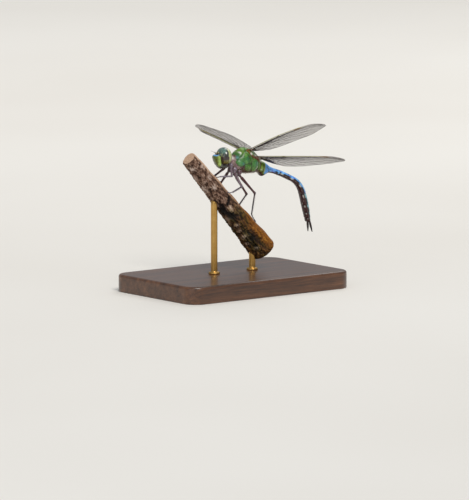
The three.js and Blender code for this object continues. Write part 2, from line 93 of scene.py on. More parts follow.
# Outline of the abdomen: [distance, bottom, top, half width].
ABDOMEN_OUTLINE = [[0, -2.7, 2.6, 2.35], [1.9, -3.0, 2.7, 2.55], [3.4, -3.9, 2.5, 2.55],
                   [4.8, -2.9, 2.1, 2.1], [6.2, -1.8, 1.6, 1.65], [9, -1.2, 1.25, 1.38],
                   [13.5, -1.22, 1.22, 1.42], [22, -1.28, 1.24, 1.55], [31, -1.54, 1.44, 1.87],
                   [37, -1.58, 1.48, 1.93], [42, -1.35, 1.25, 1.7], [44.7, -1.0, 0.95, 1.4]]
CERCUS = {"length": 5.2, "spread": 9, "width": 0.78, "thickness": 0.34, "offset": 0.72, "lift": 0.35}

# Wing outlines: the trailing edge is [share of the length, distance behind the leading edge].
FORE = {
    "length": 48, "tip_drop": 4, "node": 0.42, "stigma": (0.64, 0.75), "flap": (0.045, 0.5),
    "trailing": [[0, 2.4], [0.06, 5.8], [0.15, 8.4], [0.3, 9.6], [0.5, 10.3], [0.65, 10.2], [0.8, 8.5],
                 [0.9, 7.0], [0.96, 6.1], [0.985, 5.4], [1, 4.1]],
}
HIND = {
    "length": 47, "tip_drop": 4, "node": 0.33, "stigma": (0.77, 0.87), "flap": (0.075, 0.28),
    "trailing": [[0, 3.2], [0.03, 8.6], [0.1, 13.0], [0.2, 14.4], [0.35, 13.9], [0.5, 12.6], [0.7, 10.4],
                 [0.85, 8.2], [0.94, 6.7], [0.98, 5.7], [1, 4.1]],
}
TIP = {"start": 0.8, "power": 4}
# Wings: root in body coordinates, lift and twist in degrees, arch in millimetres.
WINGS = {
    "fore_left": dict(shape=FORE, root=(-0.5, -2.2, 5.1), sweep=-0.03, lift=20.5, twist=0, arch=1.2),
    "fore_right": dict(shape=FORE, root=(0.2, 2.7, 4.0), sweep=0.066, lift=10.5, twist=14.5, arch=0),
    "hind_left": dict(shape=HIND, root=(3.7, -3.2, 2.85), sweep=0.216, lift=8.6, twist=-5, arch=0.1),
    "hind_right": dict(shape=HIND, root=(3.7, 3.2, 2.95), sweep=0.043, lift=11, twist=-11.8, arch=0.9),
}
CAMBER = 0.035

LEG_RADII = {
    "front": {"coxa": 0.85, "femur": 0.55, "tibia": 0.36, "tarsus": 0.28},
    "mid": {"coxa": 0.9, "femur": 0.58, "tibia": 0.37, "tarsus": 0.28},
    "hind": {"coxa": 0.95, "femur": 0.6, "tibia": 0.38, "tarsus": 0.3},
}
# Legs: socket, hip and knee in body coordinates, ankle and foot in stem coordinates.
LEGS = {
    "front_left": ((-8.3, -1.1, -3.4), (-8.4, -1.9, -5.0), (-10.1, -5.9, -8.9), (0.2, 34, 1.6), (0.2, 8, 0)),
    "front_right": ((-8.3, 1.1, -3.4), (-8.4, 1.9, -5.0), (-11.4, 4.2, -9.8), (0.5, -35, 1), (-2, -40, 0)),
    "mid_left": ((-5.9, -1.5, -4.8), (-6.1, -2.1, -6.6), (-4.6, -7.8, -12.4), (10.6, 34, 1.1), (8.6, 50, 0)),
    "mid_right": ((-5.9, 1.5, -4.8), (-6.1, 2.1, -6.6), (-5.4, 6.6, -12.2), (8.0, -52, 1.0), (10.6, -56, 0)),
    "hind_left": ((-3.1, -1.6, -5.2), (-3.3, -2.3, -7.2), (5.2, -5.9, -13.5), (26.4, 27, 0.5), (30.8, 25, 0)),
    "hind_right": ((-3.1, 1.6, -5.2), (-2.6, 2.0, -7.2), (6.6, 1.5, -14.4), (22.8, -42, 1.0), (26.8, -45, 0)),
}
FOOT_PAD = {"share": 0.45, "lift": 0.1}

# ------------------------------------------------------------------ small helpers


def along(table, x, column=1):
    """Smooth curve through rows [x, value, value...], read at the places x in one column."""
    rows = np.array(table, float)
    places, values = rows[:, 0], rows[:, column]
    x = np.clip(np.asarray(x, float), places[0], places[-1])
    last = len(places) - 1
    before, after = np.maximum(np.arange(last + 1) - 1, 0), np.minimum(np.arange(last + 1) + 1, last)
    slopes = (values[after] - values[before]) / (places[after] - places[before])
    i = np.clip(np.searchsorted(places, x, side="right") - 1, 0, last - 1)
    span = places[i + 1] - places[i]
    t = (x - places[i]) / span
    start, end, rise, fall = values[i], values[i + 1], slopes[i] * span, slopes[i + 1] * span
    return (start + t * rise + t**2 * (3 * (end - start) - 2 * rise - fall)
            + t**3 * (2 * (start - end) + rise + fall))


def ease(x, low, high):
    t = np.clip((np.asarray(x, float) - low) / (high - low), 0, 1)
    return t * t * (3 - 2 * t)


def bump(x, middle, width):
    return np.exp(-(((np.asarray(x, float) - middle) / width) ** 2))


def signed_power(value, power):
    return np.sign(value) * np.abs(value) ** power


def rough(points, size, octaves=3, seed=0):
    """Smooth noise, about -1 to 1, at points in millimetres, for lumps of about that size."""
    shift = Vector((seed * 7.3, seed * 3.1, seed * 5.7))
    places = np.asarray(points, float) / size
    values = [noise.fractal(Vector(p) + shift, 0.9, 2.1, octaves) for p in places.reshape(-1, 3)]
    return np.reshape(values, places.shape[:-1])


def oval(x, y, middle, radii):
    """1 at the middle of an oval, falling to 0 outside its radii."""
    return bump(np.hypot((x - middle[0]) / radii[0], (y - middle[1]) / radii[1]), 0, 1)


def stacked(*masks):
    """Masks as the parts of one vector mark, each kept between 0 and 1."""
    return np.stack([np.clip(mask, 0, 1) for mask in masks], -1)


def even(grid, *values):
    """One vector mark that is the same all over a grid of points."""
    return np.zeros(grid.shape) + values


def ring_angles(count):
    return 2 * np.pi * np.arange(count) / count


def off_top(angles):
    """Angles round a tube as degrees off its top, -180 to 180."""
    return np.degrees(np.where(angles > np.pi, angles - 2 * np.pi, angles))


def turn(axis, degrees):
    c, s = math.cos(math.radians(degrees)), math.sin(math.radians(degrees))
    rows = {"y": ((c, 0, s), (0, 1, 0), (-s, 0, c)), "z": ((c, -s, 0), (s, c, 0), (0, 0, 1))}
    return np.array(rows[axis])


class Place:
    """A turned and moved set of axes: out() takes its coordinates to the frame outside it."""

    def __init__(self, rotation, origin, outer=None):
        self.rotation, self.origin = np.array(rotation, float), np.array(origin, float)
        if outer is not None:
            self.origin = outer.rotation @ self.origin + outer.origin
            self.rotation = outer.rotation @ self.rotation

    def out(self, points):
        return np.asarray(points, float) @ self.rotation.T + self.origin


WORLD = Place(np.eye(3), (0, 0, 0))
IN_BODY = Place(turn("y", BODY["pitch"]), BODY["middle"])
IN_HEAD = Place(turn("y", HEAD["pitch"]) @ turn("z", HEAD["turn"]), HEAD["place"], IN_BODY)
IN_STEM = Place(turn("y", STEM["slope"]), STEM["start"])

# ------------------------------------------------------------------ meshes


class Shape:
    """Points and faces gathered for one piece, with values kept at each point."""

    def __init__(self):
        self.points, self.faces, self.slots, self.marks, self.count = [], [], [], {}, 0

    def add(self, points, faces, slot=0, **marks):
        points = np.asarray(points, float)
        for name in {**self.marks, **marks}:
            width = np.asarray(marks[name] if name in marks else self.marks[name][0]).shape[1:]
            earlier = self.marks.setdefault(name, [np.zeros((self.count, *width))] if self.count else [])
            earlier.append(np.asarray(marks.get(name, np.zeros((len(points), *width))), float))
        self.faces += [tuple(k + self.count for k in face) for face in faces]
        self.slots += [slot] * len(faces)
        self.points.append(points)
        self.count += len(points)

    def piece(self, name, place, materials, smooth=True):
        mesh = bpy.data.meshes.new(name)
        mesh.from_pydata(place.out(np.vstack(self.points)) * MM, [], self.faces)
        for mark, values in self.marks.items():
            values = np.concatenate(values)
            kind, field = ("FLOAT", "value") if values.ndim == 1 else ("FLOAT_VECTOR", "vector")
            data = mesh.attributes.new(mark, kind, "POINT").data
            data.foreach_set(field, values.ravel().astype(np.float32))
        for material in materials:
            mesh.materials.append(material)
        mesh.polygons.foreach_set("material_index", self.slots)
        mesh.polygons.foreach_set("use_smooth", [smooth] * len(self.faces))
        mesh.update()
        made = bpy.data.objects.new(name, mesh)
        bpy.context.scene.collection.objects.link(made)
        return made


def grid_faces(rows, columns):
    """Faces of a tube of rings, with a fan on an extra middle point at each end."""
    faces = []
    for r in range(rows - 1):
        low, high = r * columns, (r + 1) * columns
        faces += [(low + k, low + (k + 1) % columns, high + (k + 1) % columns, high + k)
                  for k in range(columns)]
    first, last, top = rows * columns, rows * columns + 1, (rows - 1) * columns
    faces += [(first, (k + 1) % columns, k) for k in range(columns)]
    faces += [(last, top + k, top + (k + 1) % columns) for k in range(columns)]
    return faces


def with_ends(grid):
    """The points of a (rings, sides, ...) grid in a list, then the middles of its first and last ring."""
    rows, columns = grid.shape[:2]
    flat = grid.reshape(rows * columns, *grid.shape[2:])
    return np.concatenate([flat, grid[:1].mean(1), grid[-1:].mean(1)])


def grid_normals(grid):
    """Outward unit normals of a (rings, sides, 3) tube."""
    length = np.gradient(grid, axis=0)
    around = np.roll(grid, -1, 1) - np.roll(grid, 1, 1)
    normals = np.cross(around, length)
    normals /= np.maximum(np.linalg.norm(normals, axis=2, keepdims=True), 1e-9)
    outward = ((grid - grid.mean(1, keepdims=True)) * normals).sum()
    return normals if outward > 0 else -normals


def add_grid(shape, grid, slot=0, **marks):
    """A closed tube from a (rings, sides, 3) grid. Each mark has a value for each of its points."""
    spread = {name: with_ends(np.asarray(value, float)) for name, value in marks.items()}
    shape.add(with_ends(grid), grid_faces(*grid.shape[:2]), slot, **spread)


def add_tube(shape, path, radii, sides=8, slot=0, flat=1.0, **marks):
    """A closed round tube, one radius and mark a path point. flat squashes it across one way."""
    path, radii = np.asarray(path, float), np.asarray(radii, float)
    ways = np.gradient(path, axis=0)
    ways /= np.linalg.norm(ways, axis=1, keepdims=True)
    start = np.array((0, 1.0, 0)) if abs(ways[0][1]) < 0.9 else np.array((0, 0, 1.0))
    across = np.cross(start, ways[0])
    rings, angles = [], ring_angles(sides)
    for point, way, radius in zip(path, ways, radii):
        across = across - way * (across @ way)
        across /= np.linalg.norm(across)
        third = flat * np.cross(way, across)
        rings.append(point + radius * (np.outer(np.cos(angles), across) + np.outer(np.sin(angles), third)))
    spread = {name: np.repeat(np.asarray(value, float)[:, None], sides, 1) for name, value in marks.items()}
    add_grid(shape, np.array(rings), slot, **spread)


def superball(radii, power, middle=(0, 0, 0), rows=24, columns=32):
    """Grid over a ball stretched to three radii, boxier as its power grows, its poles on the X axis."""
    polar = np.linspace(0.02, np.pi - 0.02, rows)[:, None]
    azimuth = ring_angles(columns)[None]
    ways = np.stack([-np.cos(polar) * np.ones_like(azimuth), np.sin(polar) * np.cos(azimuth),
                     np.sin(polar) * np.sin(azimuth)], axis=2)
    shares = (np.abs(ways / np.array(radii)) ** power).sum(2, keepdims=True)
    return ways / shares ** (1 / power) + np.array(middle)


def smooth_path(points, count):
    """Evenly spaced points on a smooth curve through a few points."""
    points = np.asarray(points, float)
    steps = np.r_[0, np.cumsum(np.linalg.norm(np.diff(points, axis=0), axis=1))]
    at = np.linspace(0, steps[-1], count)
    return np.stack([along(np.c_[steps, points[:, k]], at) for k in range(points.shape[1])], 1)


def near(points, curve, width):
    """1 on a curve and falling to 0 away from it, for points of two or three coordinates."""
    line = smooth_path(curve, 24)
    gaps = np.linalg.norm(points[..., None, :] - line, axis=-1).min(-1)
    return np.exp(-((gaps / width) ** 2))


# ------------------------------------------------------------------ materials


def linear(colour):
    """An sRGB colour of 0 to 255 as linear values with full alpha."""
    shares = np.array(colour, float) / 255
    values = np.where(shares <= 0.04045, shares / 12.92, ((shares + 0.055) / 1.055) ** 2.4)
    return (*values.tolist(), 1.0)


class Finish:
    """A node material built round one Principled shader."""

    def __init__(self, name, **constants):
        self.material = bpy.data.materials.new(name)
        self.material.use_nodes = True
        self.tree = self.material.node_tree
        self.shader = self.tree.nodes["Principled BSDF"]
        for socket, value in constants.items():
            self.shader.inputs[socket.replace("_", " ")].default_value = value

    def node(self, kind, settings=(), **inputs):
        """A shader node. An input goes by its name, or by i and the number of its socket."""
        made = self.tree.nodes.new("ShaderNode" + kind)
        for key, value in dict(settings).items():
            setattr(made, key, value)
        for key, value in inputs.items():
            numbered = key[0] == "i" and key[1:].isdigit()
            self.feed(made.inputs[int(key[1:]) if numbered else key], value)
        return made

    def feed(self, socket, value):
        if isinstance(value, bpy.types.NodeSocket):
            self.tree.links.new(value, socket)
        else:
            socket.default_value = value

    def mark(self, name, part="Fac"):
        return self.node("Attribute", {"attribute_name": name}).outputs[part]

    def parts(self, name):
        """The three numbers of a vector mark."""
        return self.node("SeparateXYZ", i0=self.mark(name, "Vector")).outputs[:]

    def scaled(self, factors):
        """The place on the piece, stretched by a factor along each axis."""
        place = self.mark("place", "Vector")
        return self.node("VectorMath", {"operation": "MULTIPLY"}, i0=place, i1=factors).outputs[0]

    def noise(self, size, detail=4, vector=None, roughness=0.55):
        vector = vector or self.mark("place", "Vector")
        return self.node("TexNoise", Vector=vector, Scale=1 / size, Detail=detail,
                         Roughness=roughness).outputs[0]

    def cells(self, size):
        return self.node("TexVoronoi", Vector=self.mark("place", "Vector"), Scale=1 / size).outputs[0]

    def chain(self, operation, values):
        """The values joined from left to right by one operation."""
        total = values[0]
        for value in values[1:]:
            total = self.node("Math", {"operation": operation}, i0=total, i1=value).outputs[0]
        return total

    def times(self, *values):
        return self.chain("MULTIPLY", values)

    def plus(self, *values):
        return self.chain("ADD", values)

    def window(self, value, low, high):
        """0 at low and 1 at high, smoothly."""
        smooth = {"interpolation_type": "SMOOTHSTEP"}
        return self.node("MapRange", smooth, Value=value, i1=low, i2=high).outputs[0]

    def ramp(self, value, stops):
        made = self.node("ValToRGB", Fac=value)
        line = made.color_ramp.elements
        for k, (position, colour) in enumerate(stops):
            stop = line[k] if k < 2 else line.new(position)
            stop.position, stop.color = position, linear(colour)
        return made.outputs[0]

    def mix(self, factor, a, b):
        a, b = (c if isinstance(c, bpy.types.NodeSocket) else linear(c) for c in (a, b))
        return self.node("Mix", {"data_type": "RGBA"}, i0=factor, i6=a, i7=b).outputs[2]

    def layers(self, base, *coats):
        """Colours laid over each other: each coat is (mask, colour)."""
        for mask, colour in coats:
            base = self.mix(mask, base, colour)
        return base

    def paint(self, colour):
        self.feed(self.shader.inputs["Base Color"], colour)
        return self

    def dull(self, value, low, high):
        """Roughness from low to high as a value goes from 0 to 1."""
        roughness = self.node("MapRange", Value=value, i3=low, i4=high).outputs[0]
        self.feed(self.shader.inputs["Roughness"], roughness)
        return self

    def relief(self, height, distance, strength):
        """Bump from a height of 0 to 1, distance in millimetres."""
        made = self.node("Bump", Height=height, Strength=strength, Distance=distance * MM)
        self.feed(self.shader.inputs["Normal"], made.outputs[0])
        return self


def body_colour(finish):
    """The markings of the thorax and abdomen, shared by the skin and the hairs on it."""
    dark, pale, rust = finish.parts("marks")
    mauve, blue, maroon = finish.parts("zones")
    teal, lobe, olive = finish.parts("tones")
    mottle = finish.noise(2.1, 5)
    fine = finish.noise(0.35, 4)
    green = finish.ramp(mottle, [(0.3, (34, 74, 16)), (0.5, (60, 110, 28)), (0.72, (98, 144, 46))])
    lobes = finish.ramp(mottle, [(0.3, (32, 82, 44)), (0.52, (56, 116, 66)), (0.72, (98, 154, 102))])
    olives = finish.ramp(mottle, [(0.3, (56, 78, 12)), (0.5, (96, 130, 26)), (0.72, (152, 188, 72))])
    azure = finish.ramp(finish.noise(1.1, 4), [(0.28, (48, 104, 214)), (0.5, (82, 160, 246)),
                                               (0.7, (140, 206, 255))])
    violet = finish.mix(finish.window(finish.noise(2.6, 2), 0.6, 0.74), azure, (104, 108, 226))
    blues = finish.mix(teal, violet, (124, 168, 178))
    flesh = finish.ramp(fine, [(0.3, (70, 50, 54)), (0.5, (132, 104, 110)), (0.7, (196, 168, 166))])
    under = finish.ramp(fine, [(0.3, (26, 8, 10)), (0.55, (60, 20, 22)), (0.75, (100, 48, 48))])
    russet = finish.ramp(fine, [(0.3, (62, 24, 10)), (0.55, (122, 58, 26)), (0.75, (176, 104, 56))])
    cream = finish.ramp(fine, [(0.3, (160, 160, 152)), (0.6, (222, 222, 214))])
    black = finish.ramp(fine, [(0.35, (9, 7, 8)), (0.7, (36, 20, 21))])
    return finish.layers(green, (lobe, lobes), (olive, olives), (mauve, flesh), (maroon, under),
                         (blue, blues), (rust, russet), (pale, cream), (dark, black))


def skin_finish():
    finish = Finish("body_cuticle", IOR=1.5, Coat_Weight=0.25, Coat_Roughness=0.2, Specular_IOR_Level=0.45)
    finish.paint(body_colour(finish)).dull(finish.noise(0.6, 3), 0.28, 0.52)
    height = finish.plus(finish.times(finish.cells(0.3), 0.5), finish.noise(0.22, 3))
    return finish.relief(height, 0.05, 0.7).material


def hair_finish():
    finish = Finish("body_hair", Roughness=0.5, Specular_IOR_Level=0.3)
    return finish.paint(finish.mix(0.62, body_colour(finish), (196, 178, 142))).material


def face_finish():
    finish = Finish("face_cuticle", IOR=1.5, Coat_Weight=0.45, Coat_Roughness=0.14)
    dark, blue, green_and_sheen = finish.parts("marks")
    height = finish.parts("place")[2]
    fine = finish.noise(0.5, 4)
    low = finish.ramp(fine, [(0.3, (30, 22, 8)), (0.7, (80, 64, 22))])
    mid = finish.ramp(fine, [(0.3, (62, 66, 8)), (0.55, (92, 98, 14)), (0.75, (122, 128, 28))])
    high = finish.ramp(fine, [(0.3, (64, 76, 8)), (0.6, (94, 110, 18)), (0.8, (134, 150, 42))])
    # Lime of the strip down the face's sides: partly its own green, partly a painted highlight.
    lit = finish.ramp(fine, [(0.3, (122, 150, 52)), (0.7, (172, 200, 100))])
    colour = finish.mix(finish.window(height, -5.0, -3.0), low, mid)
    colour = finish.mix(finish.window(height, -2.2, 0.2), colour, high)
    colour = finish.layers(colour, (green_and_sheen, lit), (blue, (86, 158, 222)), (dark, (12, 10, 9)))
    finish.paint(colour).dull(finish.noise(0.7, 3), 0.22, 0.42)
    return finish.relief(finish.plus(finish.cells(0.16), fine), 0.025, 0.6).material


def eye_finish():
    """Glossy dome of fine facets, in the zones of colour that the insect's eye has."""
    finish = Finish("compound_eye", IOR=1.45, Coat_Weight=1.0, Coat_Roughness=0.06, Roughness=0.3)
    aft, _, up = finish.parts("place")
    wander = finish.times(finish.plus(finish.noise(1.5, 3), -0.5), 1.6)
    aft, up = finish.plus(aft, wander), finish.plus(up, wander)
    blotch = finish.noise(0.9, 4)
    slate = finish.ramp(blotch, [(0.3, (24, 26, 24)), (0.55, (54, 58, 52)), (0.75, (92, 98, 88))])
    teal = finish.ramp(blotch, [(0.3, (46, 70, 66)), (0.55, (80, 114, 104)), (0.75, (126, 160, 148))])
    brown = finish.ramp(blotch, [(0.3, (18, 9, 8)), (0.7, (52, 30, 20))])
    gold = finish.ramp(blotch, [(0.3, (66, 58, 14)), (0.55, (116, 106, 34)), (0.75, (164, 154, 74))])
    mottled = finish.ramp(blotch, [(0.45, (84, 92, 64)), (0.62, (134, 144, 108)), (0.8, (186, 196, 160))])
    lime = finish.ramp(blotch, [(0.3, (150, 160, 96)), (0.6, (190, 198, 138)), (0.8, (218, 222, 178))])
    # From the bottom up: dark, gold, brown, slate, and teal in front of the slate.
    colour = finish.mix(finish.window(up, -3.1, -2.2), (20, 16, 8), gold)
    colour = finish.mix(finish.window(up, -1.5, -0.8), colour, brown)
    colour = finish.mix(finish.window(up, 0.1, 0.9), colour, slate)
    forward = finish.times(finish.window(aft, 0.1, -1.0), finish.window(up, 1.5, 2.4))
    # Pale mottled patches down the front margin, a dark strip below them, and the pale rear rim.
    margin = finish.times(finish.window(aft, -1.6, -2.3), finish.window(blotch, 0.5, 0.6),
                          finish.window(up, -0.2, 0.6))
    strip = finish.times(finish.window(aft, -1.3, -2.0), finish.window(up, 0.5, -0.3))
    rim = finish.times(finish.window(aft, 0.35, 0.8), finish.window(up, -3.0, -1.4))
    finish.paint(finish.layers(colour, (forward, teal), (margin, mottled), (strip, (34, 20, 12)),
                               (rim, lime)))
    return finish.relief(finish.cells(0.11), 0.02, 0.35).material


def chitin_finish(name, low, mid, high):
    """Dark shell of the legs, mouth and claspers, from the root's colours to the tip's, with pale bloom at
    the legs' roots and a painted pale sheen of sky light reflected off the lit legs.
    """
    finish = Finish(name, IOR=1.5, Coat_Weight=0.3, Coat_Roughness=0.2)
    fine = finish.noise(0.4, 4)
    reach = finish.mark("reach")
    root = finish.ramp(fine, [(0.3, low), (0.7, mid)])
    tip = finish.ramp(fine, [(0.3, (14, 12, 15)), (0.7, high)])
    colour = finish.mix(finish.window(reach, 0.3, 0.8), root, tip)
    # Pale patches: real bloom at the roots of the legs, and painted sheen for reflected sky light on the lit
    # legs.
    sheen_and_bloom_patches = finish.times(finish.mark("sheen_and_bloom"), finish.window(finish.noise(0.5, 5), 0.24, 0.66))
    finish.paint(finish.mix(sheen_and_bloom_patches, colour, (128, 118, 132))).dull(fine, 0.26, 0.5)
    return finish.relief(finish.noise(0.12, 3), 0.03, 0.6).material


def membrane_finish():
    """Thin clear film, a little smoky, amber at the root of the leading edge."""
    finish = Finish("wing_membrane", Roughness=0.2, IOR=1.4, Alpha=0.17, Coat_Weight=0.25,
                    Coat_Roughness=0.12)
    share, across, _ = finish.parts("place")
    smoke = finish.ramp(finish.noise(0.12, 4), [(0.3, (82, 62, 48)), (0.7, (124, 100, 84))])
    amber = finish.times(finish.window(across, 0.3, 0.0), finish.window(share, 0.3, 0.05))
    finish.paint(finish.mix(amber, smoke, (140, 92, 40)))
    return finish.relief(finish.noise(0.03, 3), 0.03, 0.3).material


def vein_finish(name, stops, roughness=0.4):
    """Wing vein, its colour changing from the base of the wing to the tip."""
    finish = Finish(name, Roughness=roughness, Coat_Weight=0.2)
    share = finish.parts("place")[0]
    wander = finish.plus(share, finish.times(finish.noise(0.05, 3), 0.06))
    return finish.paint(finish.ramp(wander, stops)).material


def bark_finish():
    finish = Finish("dead_bark", Specular_IOR_Level=0.25)
    height, bare, wet = finish.parts("marks")
    pale = finish.parts("course")[2]
    stretched = finish.scaled((0.35, 1, 1))
    fibre = finish.noise(0.5, 6, stretched, 0.65)
    specks = finish.noise(0.3, 5)
    patch = finish.noise(2.6, 3, stretched)
    blend = finish.plus(finish.times(height, 0.6), finish.times(specks, 0.4))
    grey = finish.ramp(blend, [(0.26, (20, 12, 10)), (0.4, (68, 46, 36)), (0.54, (122, 94, 78)),
                               (0.68, (156, 132, 118)), (0.82, (202, 184, 172))])
    tan = finish.ramp(blend, [(0.26, (24, 15, 11)), (0.4, (76, 54, 42)), (0.54, (126, 98, 80)),
                              (0.68, (170, 140, 118)), (0.82, (206, 180, 160))])
    rind = finish.mix(finish.window(patch, 0.42, 0.6), grey, tan)
    brown = finish.ramp(blend, [(0.26, (12, 7, 3)), (0.42, (48, 29, 12)), (0.58, (94, 62, 26)),
                                (0.8, (156, 122, 78))])
    olive = finish.ramp(blend, [(0.26, (14, 11, 3)), (0.42, (44, 35, 10)), (0.58, (84, 68, 22)),
                                (0.8, (140, 122, 68))])
    soaked = finish.mix(finish.window(patch, 0.46, 0.6), brown, olive)
    grain = finish.plus(finish.times(fibre, 0.6), finish.times(height, 0.4))
    wood = finish.ramp(grain, [(0.33, (132, 100, 78)), (0.5, (186, 152, 126)), (0.67, (226, 200, 176))])
    amber = finish.ramp(grain, [(0.3, (76, 40, 6)), (0.5, (136, 82, 14)), (0.7, (182, 122, 38))])
    scale = finish.ramp(specks, [(0.3, (150, 126, 112)), (0.7, (232, 218, 208))])
    finish.paint(finish.layers(rind, (wet, soaked), (bare, finish.mix(wet, wood, amber)), (pale, scale)))
    finish.dull(wet, 0.88, 0.55)
    return finish.relief(finish.plus(specks, fibre), 0.22, 0.9).material


def walnut_finish():
    finish = Finish("stand_walnut", Coat_Weight=0.35, Coat_Roughness=0.14, IOR=1.5)
    rings = finish.noise(3.4, 3, finish.scaled((0.03, 1, 1)), 0.6)
    grain = finish.noise(0.55, 6, finish.scaled((0.06, 1, 1)), 0.7)
    tone = finish.plus(finish.times(rings, 0.5), finish.times(grain, 0.5))
    finish.paint(finish.ramp(tone, [(0.34, (46, 26, 15)), (0.5, (84, 52, 32)), (0.66, (120, 79, 50))]))
    pores = finish.noise(0.18, 2, finish.scaled((0.08, 1, 1)), 0.5)
    return finish.dull(grain, 0.3, 0.46).relief(pores, 0.05, 0.45).material


def brass_finish():
    finish = Finish("stand_brass", Metallic=1.0)
    turned = finish.noise(0.35, 3, finish.scaled((0.2, 0.2, 2.0)), 0.6)
    finish.paint(finish.ramp(finish.noise(4, 3), [(0.3, (184, 142, 76)), (0.7, (202, 162, 94))]))
    return finish.dull(turned, 0.3, 0.4).relief(turned, 0.01, 0.15).material


def bead_finish():
    finish = Finish("clear_bead", Roughness=0.05, IOR=1.45, Coat_Weight=1.0)
    amber = finish.ramp(finish.noise(0.2, 2), [(0.3, (120, 84, 40)), (0.7, (206, 180, 122))])
    return finish.paint(amber).material


SKIN = skin_finish()
HAIR = hair_finish()
FACE_SKIN = face_finish()
EYE_SKIN = eye_finish()
LEG_SKIN = chitin_finish("leg_cuticle", (28, 6, 7), (88, 22, 22), (78, 78, 90))
MOUTH_SKIN = chitin_finish("mouth_cuticle", (44, 46, 40), (96, 98, 90), (62, 46, 36))
CLASP_SKIN = chitin_finish("clasper_cuticle", (20, 10, 9), (58, 32, 26), (36, 24, 22))
BEAD = bead_finish()

# ------------------------------------------------------------------ body skin


def abdomen_axis():
    """Points and dips (radians) along the middle of the abdomen, one every step."""
    step, length = 0.05, sum(ABDOMEN["lengths"]) + 0.5
    distance = np.arange(0, length, step)
    dips = np.radians(ABDOMEN["first_dip"] + sum(t * ease(distance, a, b) for a, b, t in ABDOMEN["bends"]))
    ways = np.c_[np.cos(dips), -np.sin(dips)] * step
    points = np.array(ABDOMEN["start"]) + np.vstack([np.zeros(2), np.cumsum(ways[:-1], 0)])
    return distance, points, dips


AXIS_DISTANCE, AXIS_POINTS, AXIS_DIPS = abdomen_axis()


def abdomen_place(distance, across, up):
    """Body coordinates of a point beside and above the middle of the abdomen."""
    x, z, dip = (np.interp(distance, AXIS_DISTANCE, v) for v in (*AXIS_POINTS.T, AXIS_DIPS))
    return np.stack([x + up * np.sin(dip), across, z + up * np.cos(dip)], -1)


START, LEVEL = ABDOMEN["start"]
SKIN_OUTLINE = [[x, low - LEVEL, high - LEVEL, half] for x, low, high, half in TRUNK]
SKIN_OUTLINE += [[START + d, low, high, half] for d, low, high, half in ABDOMEN_OUTLINE]
SEGMENT_ENDS = np.cumsum((0, *ABDOMEN["lengths"]))

# Seams between the plates on the thorax's side: [aft, up].
SEAMS = {
    "humeral": ((-2.9, 4.4), (-3.4, 3.6), (-4.15, 2.45), (-4.9, 1.0), (-5.9, -0.3), (-6.6, -0.9)),
    "first": ((-3.1, 4.2), (-2.6, 3.3), (-1.4, 2.0), (0.0, 0.6), (0.8, -0.9), (1.4, -2.7), (1.3, -3.9)),
    "second": ((-1.1, 3.5), (0.2, 2.7), (1.1, 1.3), (0.9, -0.1)),
    "third": ((0.9, 2.9), (1.7, 1.9), (1.9, 1.3)),
    "hind": ((2.2, 2.5), (4.2, 1.5), (5.2, -0.2), (5.5, -2.0), (4.9, -2.9)),
    "lobe": ((-6.6, -0.9), (-5.4, -0.7), (-4.2, -0.9), (-3.1, -1.5), (-2.7, -2.3)),
    "low": ((-2.7, -2.3), (-1.7, -1.7), (-0.5, -1.2), (0.7, -0.9)),
}
# Where the green ends below: [aft, up].
GREEN_EDGE = ((-7.2, -1.6), (-6.5, -2.8), (-5.6, -3.4), (-4.4, -3.6), (-3.4, -3.0), (-2.7, -2.2),
              (-2.2, -3.4), (-1.3, -4.5), (0.1, -4.9), (1.2, -4.6), (1.9, -3.5), (2.6, -4.2), (3.7, -4.2),
              (4.7, -3.3), (5.5, -2.4), (6.3, -2.6), (7.4, -2.7))
# The rusty line below the wings: [aft, up].
HINGE_LINE = ((-3.0, 4.9), (-1.5, 4.4), (-0.3, 3.7), (0.9, 2.7), (2.4, 2.35), (4.4, 2.0), (6.2, 0.9),
              (7.3, 0.4))
# How dark each seam is.
SEAM_DARK = {"humeral": 0.2, "first": 1.0, "second": 0.85, "third": 0.7, "hind": 0.8, "lobe": 0.25,
             "low": 0.75}
# Swollen plates on the thorax's side: aft, up, size, how much flatter they are than long, height.
PLATES = ((-5.3, 1.6, 1.9, 0.8, 0.2), (-4.8, -2.2, 1.5, 1.0, 0.3), (-2.3, 0.9, 1.6, 0.7, 0.2),
          (-0.5, -2.9, 1.5, 1.1, 0.3), (3.1, -0.8, 1.6, 0.6, 0.32), (6.3, -0.8, 0.9, 0.6, 0.16))
# Shields between the wings, in pairs or on the middle line: (aft, right), radii, height.
SHIELDS = (((-1.2, 0.9), (0.9, 0.7), 0.26), ((0.9, 0.0), (0.7, 0.8), 0.34), ((2.6, 0.9), (0.8, 0.6), 0.24),
           ((4.4, 0.0), (0.7, 0.8), 0.32), ((6.2, 0.0), (0.7, 1.3), 0.2))
VALLEYS = ((0.0, 0.22), (1.8, 0.24), (3.6, 0.2), (5.4, 0.22))
# Rusty bands on the abdomen: [distance, degrees off the top / 30], width.
RUSTY_BANDS = ((((0.25, 1.0), (0.15, 3.0), (0.4, 5.2)), 0.24), (((1.8, 2.0), (2.1, 3.4), (2.0, 5.2)), 0.2))
# The abdomen's side, ring by ring: where the blue ends below, how far the dark top reaches down and
# where the pale spots lie, all in degrees off the top.
BLUE_LOW = (20, 124, 112, 88, 88, 92, 90, 86, 82, 76)
TOP_STRIPE = (0, 0, 8, 13, 14, 16, 30, 38, 42, 50)
SPOT_ANGLE = (0, 0, 0, 98, 100, 108, 124, 138, 138, 130)
# Pale spots of a ring: (share of its length, degrees below SPOT_ANGLE), radii, strength.
SPOTS = (((0.17, 0), (0.13, 10), 1.3), ((0.62, 12), (0.07, 6), 0.35), ((0.84, 44), (0.06, 8), 0.4))
# Dark blobs on the abdomen: (distance, degrees off the top), radii, strength.
BLOBS = (((10.8, 97), (0.95, 15), 1.6), ((11.2, 40), (1.1, 10), 1.3), ((13.2, 79), (0.5, 10), 1.2),
         ((9.2, 26), (0.6, 7), 0.8))


